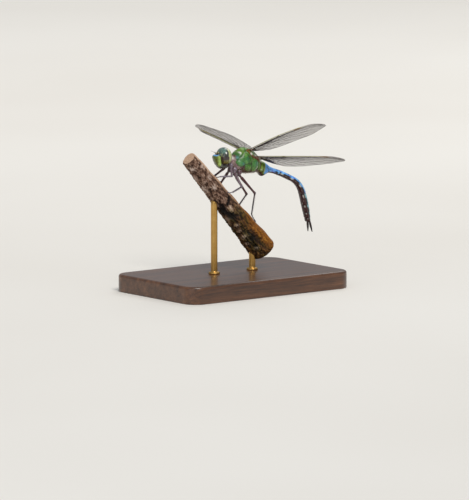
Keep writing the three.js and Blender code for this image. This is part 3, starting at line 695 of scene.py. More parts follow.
def skin_grid():
    """Places along and angles round the skin, and its smooth surface before the fine relief."""
    stations = np.r_[np.arange(-11.2, 16, 0.14), np.arange(16, START + SEGMENT_ENDS[-1], 0.18)]
    angles = ring_angles(180)
    low, high, half = (along(SKIN_OUTLINE, stations, k)[:, None] for k in (1, 2, 3))
    power = 2 + 0.23 * ease(stations, -7.4, -5.5)[:, None]
    widest = 0.5 - 0.055 * ease(stations, -7.4, -5.5)[:, None]
    middle = low + (high - low) * widest
    rise = signed_power(np.cos(angles), 2 / power)
    up = middle + rise * np.where(rise > 0, high - middle, middle - low)
    across = signed_power(np.sin(angles), 2 / power) * half
    behind = np.maximum(stations - START, 0)[:, None] * np.ones_like(up)
    grid = abdomen_place(behind, across, up)
    grid[..., 0] += np.minimum(stations - START, 0)[:, None]
    return stations, angles, grid


def thorax_relief(side, top, aft):
    """Height of the thorax's plates, and masks of dark seams, pale lines, hinges and what is not green."""
    flank = ease(aft, -7.1, -6.7) * ease(aft, 7.7, 7.2) * (1 - ease(top, 0.75, 0.93))
    narrow, wide = ({name: near(side, curve, width) for name, curve in SEAMS.items()}
                    for width in (0.2, 0.62))
    hinge = near(side, HINGE_LINE, 0.5)
    x, z = side[..., 0], side[..., 1]
    below = np.interp(x, *np.array(GREEN_EDGE).T) - z
    plates = sum(lift * bump(np.hypot(x - at_x, (z - at_z) * squash), 0, size)
                 for at_x, at_z, size, squash, lift in PLATES)
    cut = 0.16 * np.max(list(wide.values()), 0) + 0.2 * np.max(list(narrow.values()), 0)
    edge = 0.3 * ease(below, -0.35, 0.15)
    height = flank * (plates - cut - 0.34 * hinge - edge * ease(top, 0.4, 0.0))
    dark = flank * np.clip(sum(SEAM_DARK[name] * 1.15 * mask for name, mask in narrow.items()), 0, 0.92)
    pale = flank * 0.55 * near(side, SEAMS["humeral"][1:5], 0.13)
    rust = flank * np.clip(1.3 * hinge - 0.1, 0, 1)
    return height, dark, pale, rust, flank * ease(below, -0.12, 0.22)


def dorsal_relief(grid, aft):
    """The keel on the thorax's front and the small shields between the wings."""
    x, y, z = grid[..., 0], np.abs(grid[..., 1]), grid[..., 2]
    over = ease(z, 1.0, 2.0) * ease(aft, -7, -6) * ease(aft, 7.7, 7)
    keel = 0.2 * bump(y, 0, 0.14) * ease(x, -2.6, -3.2)
    crest = 0.34 * bump(x, -2.75 - 0.25 * y, 0.22) * ease(y, 2.6, 1.2)
    shields = sum(lift * oval(x, y, middle, radii) for middle, radii, lift in SHIELDS)
    valleys = 0.3 * sum(bump(x, at_x, width) for at_x, width in VALLEYS)
    saddle = ease(x, -2.7, -1.9)
    return over * (keel + crest + saddle * (shields - valleys * ease(y, 2.8, 1.6))), over * saddle


def abdomen_relief(distance, turned):
    """Rings, keels and the ear-like knobs on the abdomen's second ring."""
    ends = SEGMENT_ENDS[:-1]
    joints = sum(bump(distance, end, 0.16) for end in ends)
    flare = sum(0.07 * bump(distance, end - 0.45, 0.4) for end in SEGMENT_ENDS[2:])
    middles = sum(bump(distance, (a + b) / 2 - 0.06 * (b - a), 0.09) for a, b in zip(ends[2:8], ends[3:9]))
    keels = 0.07 * bump(turned, 116, 7) + 0.06 * bump(turned, 0, 7) * ease(distance, 8, 12)
    knobs = 0.4 * oval(distance, turned, (3.6, 98), (0.55, 13))
    return ease(distance, -0.2, 0.2) * (flare + keels + knobs - 0.17 * joints - 0.045 * middles)


def abdomen_marks(distance, turned, wander):
    """Dark, pale and blue masks and the ring's number, from the distance and the angle off the top."""
    segment = np.clip(np.searchsorted(SEGMENT_ENDS, distance, side="right"), 1, 10)
    share = (distance - SEGMENT_ENDS[segment - 1]) / np.diff(SEGMENT_ENDS)[segment - 1]
    blue_low, top_stripe, spot_angle = (np.array(table, float)[segment - 1]
                                        for table in (BLUE_LOW, TOP_STRIPE, SPOT_ANGLE))
    turned = turned + 5 * wander
    blue = ease(distance, 2.7, 3.1) * ease(turned, blue_low + 5, blue_low - 5)
    joints = sum(bump(distance, end, 0.2) for end in SEGMENT_ENDS[3:])
    stripe = ease(turned, top_stripe + 4, top_stripe - 4) * ease(distance, 8.3, 9.3)
    stripe = stripe * (1 - 0.75 * bump(share, 0.36, 0.09) * ease(segment, 7, 6))
    late = ease(segment, 3.4, 3.6)
    # A long black dash low on each side, and a short one higher up, towards the end of each ring.
    dash = late * bump((turned - blue_low + 4) / 13, 0, 1) * ease(share, 0.32, 0.42) * ease(share, 0.98, 0.88)
    high = late * oval(share, turned, (0.82, 0.42 * blue_low), (0.13, 13))
    blobs = sum(size * oval(distance, turned, middle, radii) for middle, radii, size in BLOBS)
    course = np.stack([distance, turned / 20], -1)
    crescent = near(course, ((4.0, 3.2), (5.4, 4.1), (5.9, 5.2), (5.4, 6.6)), 0.24)
    dark = (joints + stripe + 1.3 * dash + high + blobs) * ease(distance, 6, 7.5)
    dark = dark + 0.9 * crescent * ease(distance, 3.2, 3.8)
    spots = sum(size * oval(share, turned, (at, spot_angle + low), radii) for (at, low), radii, size in SPOTS)
    spots = np.clip(late * spots, 0, 1)
    return np.clip(dark, 0, 1) * (1 - spots), 0.8 * spots, blue, segment


def skin_marks(grid, distance, turned, thorax):
    """The colour masks of the whole skin."""
    dark, pale, rust, below, saddle = thorax
    x, z = grid[..., 0], grid[..., 2]
    wander, fine = rough(grid, 1.1), rough(grid, 0.5, seed=3)
    rear = ease(distance, -0.1, 0.1)
    front = 1 - rear
    tail_dark, tail_pale, blue, segment = abdomen_marks(np.maximum(distance, 0), turned, wander)

    def spot(at_x, at_z, size):
        return bump(np.hypot(x - at_x, z - at_z), 0, size)

    # Rusty bands on the abdomen's first two rings, and its pale spots.
    course = np.stack([distance, turned / 30], -1)
    bands = sum(near(course, curve, width) for curve, width in RUSTY_BANDS) * ease(distance, 3.4, 2.8)
    rust = rust + rear * 0.9 * bands
    dark = dark * front + rear * (tail_dark + 0.55 * bands)
    pale = pale + rear * (tail_pale + 0.45 * bump(distance, 2.75, 0.16) * ease(turned, 130, 110))
    pale = pale + 0.6 * rear * oval(distance, turned, (0.9, 112), (0.5, 9))
    # Cream patches between the wings' roots and on the thorax's side.
    patch = oval(x, z + 0.25 * (x - 3.0) - 0.3 * fine, (3.0, 3.2), (1.2, 0.34))
    pale = pale + front * (1.4 * patch + 1.2 * spot(0.2, 3.65, 0.5) + 1.4 * spot(-5.7, 2.6, 0.4)
                           + 0.9 * spot(4.65, -1.6, 0.34) + 0.7 * spot(4.3, -2.4, 0.3))
    olive = rear * ease(distance, -0.4, 0.3) * ease(distance, 3.2, 2.6) + 0.6 * ease(x, 4.5, 6.5) * front
    # The top of the thorax's front is painted yellower and lighter: partly its own olive tint, partly painted
    # sunlight on its upper side.
    olive = olive + 0.8 * front * ease(z - 0.4 * wander, 1.8, 3.2) * ease(x, -3.6, -4.8)
    # The neck and the sockets of the front legs are mauve, the belly behind them is maroon.
    collar = ease(x, -6.75, -7.0)
    mauve = np.clip(collar + below * ease(x, -2.9, -3.9), 0, 1)
    mauve = mauve * ease(z, 0.9 + 0.4 * collar, 0.2 + 0.4 * collar) * front
    pale = pale + 0.85 * collar * oval(x, z, (-8.4, -0.4), (0.7, 0.7))
    rust = rust + collar * ease(z, 0.0, 0.5)
    under = np.clip(below * ease(x, -4.6, -3.4) + ease(z + 0.35 * wander, -4.6, -5.4), 0, 1)
    under = front * under * (1 - 0.6 * collar)
    low = np.interp(distance, (2, 3.5, 5, 7), (134, 124, 118, 98))
    belly = rear * (1 - blue) * (ease(turned + 8 * wander, low, low + 14) + ease(distance, 8, 10))
    # Painted reflections of the sky: pale aqua glints on the thorax's side, laid into the blue zone.
    sky_glints = front * (0.5 * spot(-6.8, 0.2, 0.55) + 0.25 * spot(-3.5, -2.0, 0.6) + 0.25 * spot(4.4, 0.1, 0.7))
    lobe = front * np.clip(spot(-4.8, -1.9, 2.0) + spot(-1.9, 0.8, 1.5) + spot(3.3, -0.4, 1.7)
                           + 0.6 * spot(-6.3, 0.5, 1.2) + 0.25 * wander, 0, 1)
    teal = rear * ease(segment, 5.2, 7.4) + 0.15 + 0.6 * front
    rust = np.clip(rust + 0.5 * saddle * ease(wander + 0.15 * fine, 0.0, 0.5), 0, 1)
    return {"place": grid, "marks": stacked(dark, pale, rust), "tones": stacked(teal, lobe, olive),
            "zones": stacked(mauve, blue * rear + sky_glints, under + belly)}


def body_skin():
    stations, angles, grid = skin_grid()
    normals = grid_normals(grid)
    aft = stations[:, None] * np.ones(len(angles))
    top = np.cos(angles) * np.ones_like(aft)
    turned = np.abs(off_top(angles)) * np.ones_like(aft)
    height, dark, pale, rust, below = thorax_relief(grid[..., (0, 2)], top, aft)
    over, saddle = dorsal_relief(grid, aft)
    height = height + over + abdomen_relief(aft - START, turned) + 0.035 * rough(grid, 0.9, seed=1)
    marks = skin_marks(grid, aft - START, turned, (dark, pale, rust, below, saddle))
    points = grid + normals * height[..., None]
    shape = Shape()
    add_grid(shape, points, **marks)
    made = shape.piece("body_skin", IN_BODY, [SKIN])
    return made, stations, points, normals, marks


skin, skin_stations, skin_points, skin_normals, skin_masks = body_skin()
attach(skin, "root")
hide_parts("thorax", "prothorax", "neck", *(f"abdomen_{k}" for k in range(1, 11)))

# ------------------------------------------------------------------ head

CROWN = {"radii": (0.75, 1.35, 0.75), "power": 2.3, "middle": (-2.95, 0, 1.35)}
SIMPLE_EYES = {"radii": (0.26, 0.26, 0.26),
               "places": ((-3.72, 0, 1.5), (-3.1, -0.75, 2.0), (-3.1, 0.75, 2.0))}
# Grooves across the face: height, how far they sag, depth, width.
FACE_GROOVES = ((-1.25, 0.5, 0.09, 0.13), (-2.75, 0.3, 0.11, 0.12), (-4.05, -0.25, 0.13, 0.12))
# Swellings between the grooves: height, width, lift.
FACE_SWELLS = ((-0.4, 0.7, 0.06), (-2.0, 0.5, 0.05), (-3.4, 0.5, 0.05))


def eye_piece(side, name):
    """Half of the double dome: flattened at the seam and behind."""
    grid = superball(EYE["radii"], EYE["power"], rows=90, columns=140)
    place = grid.copy()
    grid[..., 1] = np.maximum(grid[..., 1] * side, EYE["seam"]) * side
    grid[..., 0] = np.minimum(grid[..., 0], EYE["rear"] + 0.05)
    shape = Shape()
    add_grid(shape, grid, place=place)
    made = shape.piece(name, IN_HEAD, [EYE_SKIN])
    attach(made, "root")
    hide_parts(name.replace("compound_", ""))


def head_rear():
    """The back of the head, which follows the outline of both eyes together."""
    stations = np.r_[np.linspace(1.95, 2.9, 22), np.linspace(2.94, 3.1, 6)]
    scales = (1 - (stations / EYE["radii"][0]) ** EYE["power"]) ** (1 / EYE["power"])
    scales = np.minimum(scales, scales[4]) * np.r_[0.93, 0.99, np.ones(len(scales) - 2)]
    angles = ring_angles(96)
    exponent = 2 / EYE["power"]
    return np.stack([np.repeat(stations[:, None], len(angles), 1),
                     np.outer(scales, signed_power(np.cos(angles), exponent) * EYE["radii"][1]),
                     np.outer(scales, signed_power(np.sin(angles), exponent) * EYE["radii"][2])], -1)


def head_piece():
    """The capsule between the eyes and the back of the head, with the crown and its three simple eyes."""
    shape = Shape()
    ball = superball(CAPSULE["radii"], CAPSULE["power"], CAPSULE["middle"], 40, 56)
    crown = superball(CROWN["radii"], CROWN["power"], CROWN["middle"], 20, 28)
    for grid in (ball, head_rear(), crown):
        edge = bump(np.hypot(grid[..., 1] / EYE["radii"][1], grid[..., 2] / EYE["radii"][2]), 0.8, 0.12)
        marks = np.stack([0.55 * (1 - edge), 0.8 * edge, 0 * edge + 0.3], -1)
        add_grid(shape, grid, place=grid, marks=marks, zones=even(grid, 0, 0, 0), tones=even(grid, 0, 0, 1))
    for place in SIMPLE_EYES["places"]:
        add_grid(shape, superball(SIMPLE_EYES["radii"], 2, place, 12, 16), slot=1)
    made = shape.piece("head_capsule", IN_HEAD, [SKIN, BEAD])
    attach(made, "root")
    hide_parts("head")


def face_piece():
    """Brow, upper and lower shields and lip, one over the other, with the dark and blue brow spot."""
    heights = np.r_[np.linspace(FACE[0][0], 0.9, 92), np.linspace(0.93, 1.15, 10)]
    angles = ring_angles(96)
    front, half = along(FACE, heights, 1)[:, None], along(FACE, heights, 2)[:, None]
    rise, out = signed_power(np.cos(angles), 0.8), signed_power(np.sin(angles), 0.8)
    middle = front + (FACE_REAR - front) * 0.62
    x = middle + rise * np.where(rise > 0, FACE_REAR - middle, middle - front)
    grid = np.stack([x, out * half, np.repeat(heights[:, None], len(angles), 1)], -1)
    normals = grid_normals(grid)
    y, z = np.abs(grid[..., 1]), grid[..., 2]
    ahead = ease(-rise, -0.5, 0.2) * np.ones_like(y)
    grooves = sum(depth * bump(z, height + sag * (y / 2.4) ** 2, width)
                  for height, sag, depth, width in FACE_GROOVES)
    swell = sum(lift * bump(z, height, width) for height, width, lift in FACE_SWELLS)
    cleft = 0.1 * bump(y, 0, 0.12) * ease(z, -4.0, -4.6) + 0.08 * bump(y, 0, 0.5) * bump(z, 0.4, 0.5)
    grid = grid + normals * (ahead * (swell - grooves - cleft))[..., None]
    x = grid[..., 0]
    spot = ease(np.hypot((x + 3.55) / 0.75, y / 1.5), 1.1, 0.9) * ease(z, 0.7, 0.95)
    dark = np.clip(spot + 4 * ahead * grooves, 0, 0.98 * spot + 0.4)
    blue = ease(z, 0.45, 0.8) * ease(y, 2.15, 1.8) * (1 - spot)
    # A lime strip down each side of the face: partly its own pale green, partly a painted highlight.
    green_and_sheen = ease(x, -4.3, -3.4) * ease(z, -4.9, -3.8) * ease(z, 0.7, 0.4) * ease(y, 1.0, 1.7)
    shape = Shape()
    add_grid(shape, grid, place=grid, marks=stacked(dark, blue, green_and_sheen))
    made = shape.piece("face_plates", IN_HEAD, [FACE_SKIN])
    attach(made, "root")
    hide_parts("face")


def jaw_piece():
    """Lower lip in three lobes, and a mandible at each corner of the mouth."""
    shape = Shape()
    grid = superball(JAW["radii"], JAW["power"], JAW["middle"], 48, 72)
    y, z = np.abs(grid[..., 1]), grid[..., 2]
    grid[..., 2] += (0.2 * bump(y, 0.75, 0.12) + 0.12 * bump(y, 0, 0.1)) * ease(z, -3.7, -4.4)
    add_grid(shape, grid, reach=ease(grid[..., 0], -1.2, -2.8), place=grid)
    for side in (-1, 1):
        cheek = superball((0.9, 0.42, 1.15), 2.3, (-2.1, side * 1.85, -3.75), 20, 28)
        add_grid(shape, cheek, reach=ease(cheek[..., 2], -4.0, -4.9), place=cheek)
    made = shape.piece("mouth_parts", IN_HEAD, [MOUTH_SKIN])
    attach(made, "root")
    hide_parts("jaw")


def antenna_piece(side, name):
    """A two-ringed foot and a thin bristle."""
    root, reach = np.array(ANTENNA["root"]), np.array(ANTENNA["reach"])
    shares = np.array((-0.06, 0.02, 0.08, 0.13, 0.16, 0.22, 0.26, 0.3, 0.5, 0.75, 1.0))
    radii = np.array((0.28, 0.3, 0.28, 0.18, 0.22, 0.2, 0.09, 0.07, 0.055, 0.04, 0.02))
    path = root + shares[:, None] * reach + np.outer(shares * (1 - shares), (0.1, 0.2, 0.35))
    path[:, 1] *= side
    shape = Shape()
    add_tube(shape, path, radii, 12, reach=0.2 + 0.5 * shares, place=path)
    made = shape.piece(name + "_bristle", IN_HEAD, [CLASP_SKIN])
    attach(made, "root")
    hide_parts(name)


for side, pair in zip((-1, 1), PAIRS):
    eye_piece(side, f"compound_eye_{pair}")
    antenna_piece(side, f"antenna_{pair}")
head_piece()
face_piece()
jaw_piece()

# ------------------------------------------------------------------ wings


def wing_place(wing):
    """The wing's own axes in the body: x from the leading to the trailing edge, y out along it."""
    side = math.copysign(1, wing["root"][1])
    lift, twist = math.radians(wing["lift"]), math.radians(wing["twist"])
    out = np.array((wing["sweep"], side * math.cos(lift), math.sin(lift)))
    out /= np.linalg.norm(out)
    level = np.array((1, 0, 0)) - out * out[0]
    level /= np.linalg.norm(level)
    up = -side * np.cross(out, level)
    aft = level * math.cos(twist) + up * math.sin(twist)
    crown = side * np.cross(aft, out)
    return Place(np.stack([aft, out, crown], 1), wing["root"], IN_BODY)


def wing_edges(shape, share):
    lead = shape["tip_drop"] * np.maximum(0, (share - TIP["start"]) / (1 - TIP["start"])) ** TIP["power"]
    return lead, along(shape["trailing"], share)


def wing_point(wing, share, across, lift=0.0):
    """A point of the wing's middle surface, pleated near the leading edge."""
    share, across = np.asarray(share, float), np.asarray(across, float)
    lead, trail = wing_edges(wing["shape"], share)
    chord = trail - lead
    bow = wing["arch"] * 4 * share * (1 - share)
    crown = CAMBER * chord * 4 * across * (1 - across)
    behind = across * chord
    pleats = 0.2 * np.cos(np.pi * behind / 0.62) * np.exp(-behind / 1.3) * (1 - 0.5 * share)
    ripple = 0.07 * np.cos(2 * np.pi * behind / 2.1) * (1 - 0.6 * share)
    height = bow + crown + pleats + ripple + lift
    return np.stack([lead + behind, share * wing["shape"]["length"], height], -1)


def membrane_piece(name, wing, place):
    """A thin closed film over the whole outline, rounded at the tip."""
    shape = Shape()

    def film(shares, across, thickness, slot):
        top, under = (wing_point(wing, shares, across, lift) for lift in (thickness, -thickness))
        marks = np.stack([shares, across, 0 * shares], -1)
        rings, marks = (np.concatenate([a, b[:, ::-1]], 1) for a, b in ((top, under), (marks, marks)))
        add_grid(shape, rings, slot, place=marks)

    shares = (1 - np.cos(np.pi * np.linspace(0.02, 1, 150))) / 2
    shares[0] = -0.02
    across = (1 - np.cos(np.pi * np.linspace(0.03, 1, 44))) / 2
    film(*np.meshgrid(shares, across, indexing="ij"), 0.035, 0)
    # The dark flap at the root of the trailing edge.
    out, back = np.meshgrid(np.linspace(0, 1, 16), np.linspace(0, 1, 14), indexing="ij")
    reach, start = wing["shape"]["flap"]
    film(-0.01 + reach * out, start + (0.97 - start) * (back + 0.35 * out * (1 - back)), 0.06, 1)
    made = shape.piece(f"wing_{name}_membrane", place, [MEMBRANE, FLAP])
    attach(made, "root")
    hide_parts(f"wing_{name}")


# Main veins as [share of the length, share of the chord], from the wing's base outwards.
FORE_VEINS = (
    ((0.0, 0.3), (0.07, 0.17), (0.2, 0.155), (0.5, 0.17), (0.8, 0.27), (0.96, 0.52)),
    ((0.11, 0.163), (0.3, 0.235), (0.55, 0.32), (0.8, 0.45), (0.95, 0.78)),
    ((0.1, 0.165), (0.16, 0.205), (0.3, 0.33), (0.55, 0.5), (0.75, 0.68), (0.88, 0.97)),
    ((0.08, 0.168), (0.14, 0.225), (0.28, 0.42), (0.5, 0.66), (0.68, 0.86), (0.78, 0.99)),
    ((0.06, 0.18), (0.11, 0.27), (0.2, 0.5), (0.38, 0.74), (0.52, 0.92), (0.6, 0.99)),
    ((0.0, 0.5), (0.08, 0.42), (0.16, 0.6), (0.28, 0.84), (0.38, 0.99)),
    ((0.0, 0.72), (0.06, 0.68), (0.12, 0.82), (0.2, 0.99)),
)
HIND_VEINS = (
    ((0.0, 0.2), (0.07, 0.11), (0.2, 0.11), (0.5, 0.15), (0.8, 0.27), (0.96, 0.52)),
    ((0.1, 0.11), (0.3, 0.2), (0.55, 0.3), (0.8, 0.45), (0.95, 0.78)),
    ((0.09, 0.11), (0.14, 0.145), (0.3, 0.27), (0.55, 0.45), (0.75, 0.66), (0.88, 0.97)),
    ((0.075, 0.112), (0.12, 0.165), (0.25, 0.34), (0.48, 0.58), (0.66, 0.8), (0.77, 0.99)),
    ((0.06, 0.12), (0.1, 0.19), (0.18, 0.38), (0.36, 0.64), (0.5, 0.84), (0.58, 0.99)),
    ((0.0, 0.3), (0.06, 0.22), (0.14, 0.45), (0.27, 0.72), (0.4, 0.99)),
    ((0.0, 0.42), (0.05, 0.36), (0.1, 0.56), (0.18, 0.8), (0.26, 0.99)),
    ((0.0, 0.6), (0.04, 0.55), (0.07, 0.72), (0.12, 0.99)),
)
# Millimetres from the leading edge back to the two veins that follow it, and where the radius ends.
COSTA_GAPS = {"subcosta": 0.5, "radius": 0.98}
WING_END = 0.985


def radius_gap(share):
    """Millimetres from the leading edge back to the radius, which closes in at the tip."""
    widening = 1.25 - 0.25 * ease(share, 0, 0.08)
    return COSTA_GAPS["radius"] * (1 - 0.6 * ease(share, 0.9, WING_END)) * widening


def strut(shape, ends, radius):
    """One thin three-sided vein between two points of the wing."""
    a, b = ends
    way = b - a
    length = np.linalg.norm(way)
    if length < 0.05:
        return
    flat = np.array((way[1], -way[0], 0)) / max(np.hypot(way[0], way[1]), 1e-6) * radius
    up = np.array((0, 0, radius))
    points = [end + step for end in (a, b) for step in (flat - up / 2, -flat - up / 2, up)]
    faces = [(0, 1, 2), (5, 4, 3), (0, 3, 4, 1), (1, 4, 5, 2), (2, 5, 3, 0)]
    share = a[1] / FORE["length"]
    shape.add(points, faces, place=even(np.array(points), share, 0.5, 0))


def cell_net(shape, wing, rng):
    """Honeycomb of small cells over the field behind the radius, a little uneven."""
    side = 0.5
    column, row = side * math.sqrt(3) / 2, 1.5 * side
    length = wing["shape"]["length"]
    widest = max(distance for _, distance in wing["shape"]["trailing"])
    columns, rows = int(length / column) + 2, int(widest / row) + 2
    i, j = np.meshgrid(np.arange(columns), np.arange(rows), indexing="ij")
    out = i * column + rng.normal(0, 0.1, i.shape)
    back = j * row + np.where((i + j) % 2, 0.25, -0.25) * side + rng.normal(0, 0.08, i.shape)
    share = out / length
    lead, trail = wing_edges(wing["shape"], share)
    first = (radius_gap(share) + 0.05) / (trail - lead)
    across = first + back / widest * (1 - first) * 1.02
    points = wing_point(wing, share, np.clip(across, 0, 1))
    inside = (share > 0.01) & (share < 0.992) & (across < 1.045)
    for step_out, step_back in ((1, 0), (0, 1)):
        for m in range(columns - step_out):
            for n in range(rows - step_back):
                closed = step_back and (m + n) % 2 == 0
                ends = (m, n), (m + step_out, n + step_back)
                if not closed and all(inside[end] for end in ends):
                    strut(shape, [points[end] for end in ends], 0.034)


def cross_veins(shape, wing):
    """Rungs between the leading edge and the radius, apart at the stigma."""
    node, (stigma_start, stigma_end) = wing["shape"]["node"], wing["shape"]["stigma"]
    places = [*np.linspace(0.05, node, 14), *np.linspace(node + 0.03, stigma_start - 0.015, 8),
              *np.linspace(stigma_end + 0.02, 0.965, 6)]
    for share in places:
        lead, trail = wing_edges(wing["shape"], share)
        gaps = [0, COSTA_GAPS["subcosta"], radius_gap(share)] if share < node else [0, radius_gap(share)]
        points = wing_point(wing, np.full(len(gaps), share), np.array(gaps) / (trail - lead))
        for ends in zip(points[:-1], points[1:]):
            strut(shape, ends, 0.05)


def vein_piece(name, wing, place, rng):
    """All veins of a wing: the edges, the main veins, stigma, node, rungs and cells."""
    outline = wing["shape"]
    node = outline["node"]
    shape = Shape()

    def line(shares, across, sizes, slot=0, sides=6, flat=1.0):
        """A vein through places on the wing, with its radius at each."""
        marks = np.stack([shares, across, 0 * shares], -1)
        add_tube(shape, wing_point(wing, shares, across), sizes, sides, slot, flat, place=marks)

    def gap_line(shares, gap, sizes, **how):
        lead, trail = wing_edges(outline, shares)
        line(shares, gap / (trail - lead), sizes, **how)

    shares = np.linspace(-0.01, 1, 110)
    line(shares, 0 * shares, np.interp(shares, (0, 0.08, 0.75, 1), (0.2, 0.15, 0.11, 0.05)), slot=1, sides=8)
    shares = np.linspace(-0.01, WING_END, 90)
    sizes = np.interp(shares, (0, 0.08, 0.6, 0.8, 1), (0.24, 0.19, 0.16, 0.1, 0.045))
    gap_line(shares, radius_gap(shares), sizes)
    shares = np.linspace(0, node, 40)
    gap = COSTA_GAPS["subcosta"] * (1 - ease(shares, node - 0.03, node))
    gap_line(shares, gap, np.linspace(0.18, 0.12, 40))
    # Round the wing: down its base, out along the trailing edge and back up at the tip.
    out = np.r_[np.zeros(12), np.linspace(0.01, 0.995, 90), np.full(12, 0.999)]
    back = np.r_[np.linspace(0.25, 1, 12), np.ones(90), np.linspace(0.9, 0.02, 12)]
    line(out, back, np.full(len(out), 0.05), sides=5)
    for k, vein in enumerate(FORE_VEINS if outline is FORE else HIND_VEINS):
        path = smooth_path(vein, 46)
        thick = 0.17 if k in (0, 3, 5) else 0.12
        line(*path.T, np.interp(np.linspace(0, 1, 46), (0, 0.35, 1), (thick, 0.09, 0.045)))
    stigma = np.linspace(*outline["stigma"], 30)
    swell = np.sin(np.pi * np.linspace(0.04, 0.96, 30)) ** 0.35
    gap_line(stigma, 0.5 * COSTA_GAPS["radius"], 0.46 * swell, slot=2, sides=12, flat=0.3)
    bead = np.linspace(node - 0.012, node + 0.012, 9)
    gap_line(bead, 0.18, 0.24 * np.sin(np.pi * np.linspace(0.06, 0.94, 9)) ** 0.5, sides=10)
    cross_veins(shape, wing)
    cell_net(shape, wing, rng)
    made = shape.piece(f"wing_{name}_veins", place, [VEIN, COSTA, STIGMA_SKIN])
    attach(made, "root")
    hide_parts(f"wing_{name}")


# Shields round a wing's root: (aft, out, up) from the root, radii, how cream they are.
HINGE_SHIELDS = (
    ((-0.6, 0.0, -0.1), (0.85, 0.5, 0.3), 0), ((0.45, 0.25, 0.0), (0.65, 0.75, 0.3), 0.1),
    ((1.5, 0.0, -0.2), (0.65, 0.5, 0.26), 0.75), ((0.1, 1.0, 0.05), (0.5, 0.6, 0.24), 0.15),
    ((2.4, -0.1, -0.85), (0.75, 0.42, 0.3), 0.8),
)


def hinge_piece(name, wing):
    """Small rusty and cream shields that carry a wing on the thorax."""
    side = math.copysign(1, wing["root"][1])
    shape = Shape()
    for (aft, out, up), radii, cream in HINGE_SHIELDS:
        grid = superball(radii, 2.3, np.array(wing["root"]) + (aft, side * out, up), 16, 22)
        add_grid(shape, grid, place=grid, marks=even(grid, 0.12, cream, 1.0), zones=even(grid, 0, 0, 0),
                 tones=even(grid, 0, 0, 1))
    made = shape.piece(f"wing_{name}_hinge", IN_BODY, [SKIN])
    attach(made, "root")


MEMBRANE = membrane_finish()
FLAP = vein_finish("wing_flap", [(0.0, (30, 24, 28)), (0.05, (46, 36, 36)), (0.1, (74, 58, 50))], 0.5)
VEIN = vein_finish("wing_vein", [(0.0, (64, 32, 16)), (0.25, (38, 24, 18)), (1.0, (44, 32, 26))])
COSTA = vein_finish("wing_costa", [(0.0, (62, 36, 20)), (0.1, (112, 94, 44)), (0.24, (156, 158, 86)),
                                   (0.78, (160, 152, 82)), (0.88, (96, 68, 34)), (0.96, (54, 38, 28))])
STIGMA_SKIN = vein_finish("wing_stigma", [(0.6, (122, 84, 42)), (0.85, (134, 96, 50))], 0.5)
wing_random = np.random.default_rng(11)
for wing_name, wing in WINGS.items():
    axes = wing_place(wing)
    membrane_piece(wing_name, wing, axes)
    vein_piece(wing_name, wing, axes, wing_random)
    hinge_piece(wing_name, wing)

# ------------------------------------------------------------------ the stem's surface

# Features of the bark: (distance down the stem, degrees off its top), radii, and a hollow's depth.
GALL = ((14.2, 113), (1.5, 15))
HOLLOWS = (((12.8, 152), (2.8, 22), 1.0), ((17.8, 132), (2.3, 15), 0.95), ((33.5, 115), (3.4, 22), 0.5))
# Knobs: distance down, degrees off the top, size.
KNOBS = ((-11, 62, 0.5), (-13.5, 150, 0.6), (-8, 190, 0.6), (-4.5, 96, 0.4), (0.2, 108, 0.5), (-1, 176, 0.7),
         (4.5, 196, 0.6), (9.5, 182, 0.5), (18.5, 166, 0.3), (21, 190, 0.5), (23.7, 142, 0.3),
         (26.7, 149, 0.2), (30.7, 147, 0.34), (34.8, 158, 0.3), (39, 132, 0.2), (38, 210, 0.4))
# Lines on the bark: [distance down / 2, degrees off the top / 14].
CRACK = ((4.9, 4.4), (5.2, 6.0), (5.9, 7.6))
CURL = ((8.2, 7.0), (8.7, 8.2), (8.2, 9.0))


def stem_radius(down, angle):
    knots = 0.15 * np.sin(2 * angle + 0.21 * down) * np.sin(0.33 * down + 1.1)
    ripples = 0.08 * np.sin(3 * angle - 0.5 * down + 0.7)
    return STEM["radius"] + STEM["taper"] * down + knots + ripples


def stem_point(down, angle, lift=0.0):
    """Stem coordinates, angle in radians, as a point in the stem's own axes."""
    radius = stem_radius(down, angle) + lift
    return np.stack([down + 0 * angle, -radius * np.sin(angle), radius * np.cos(angle)], -1)


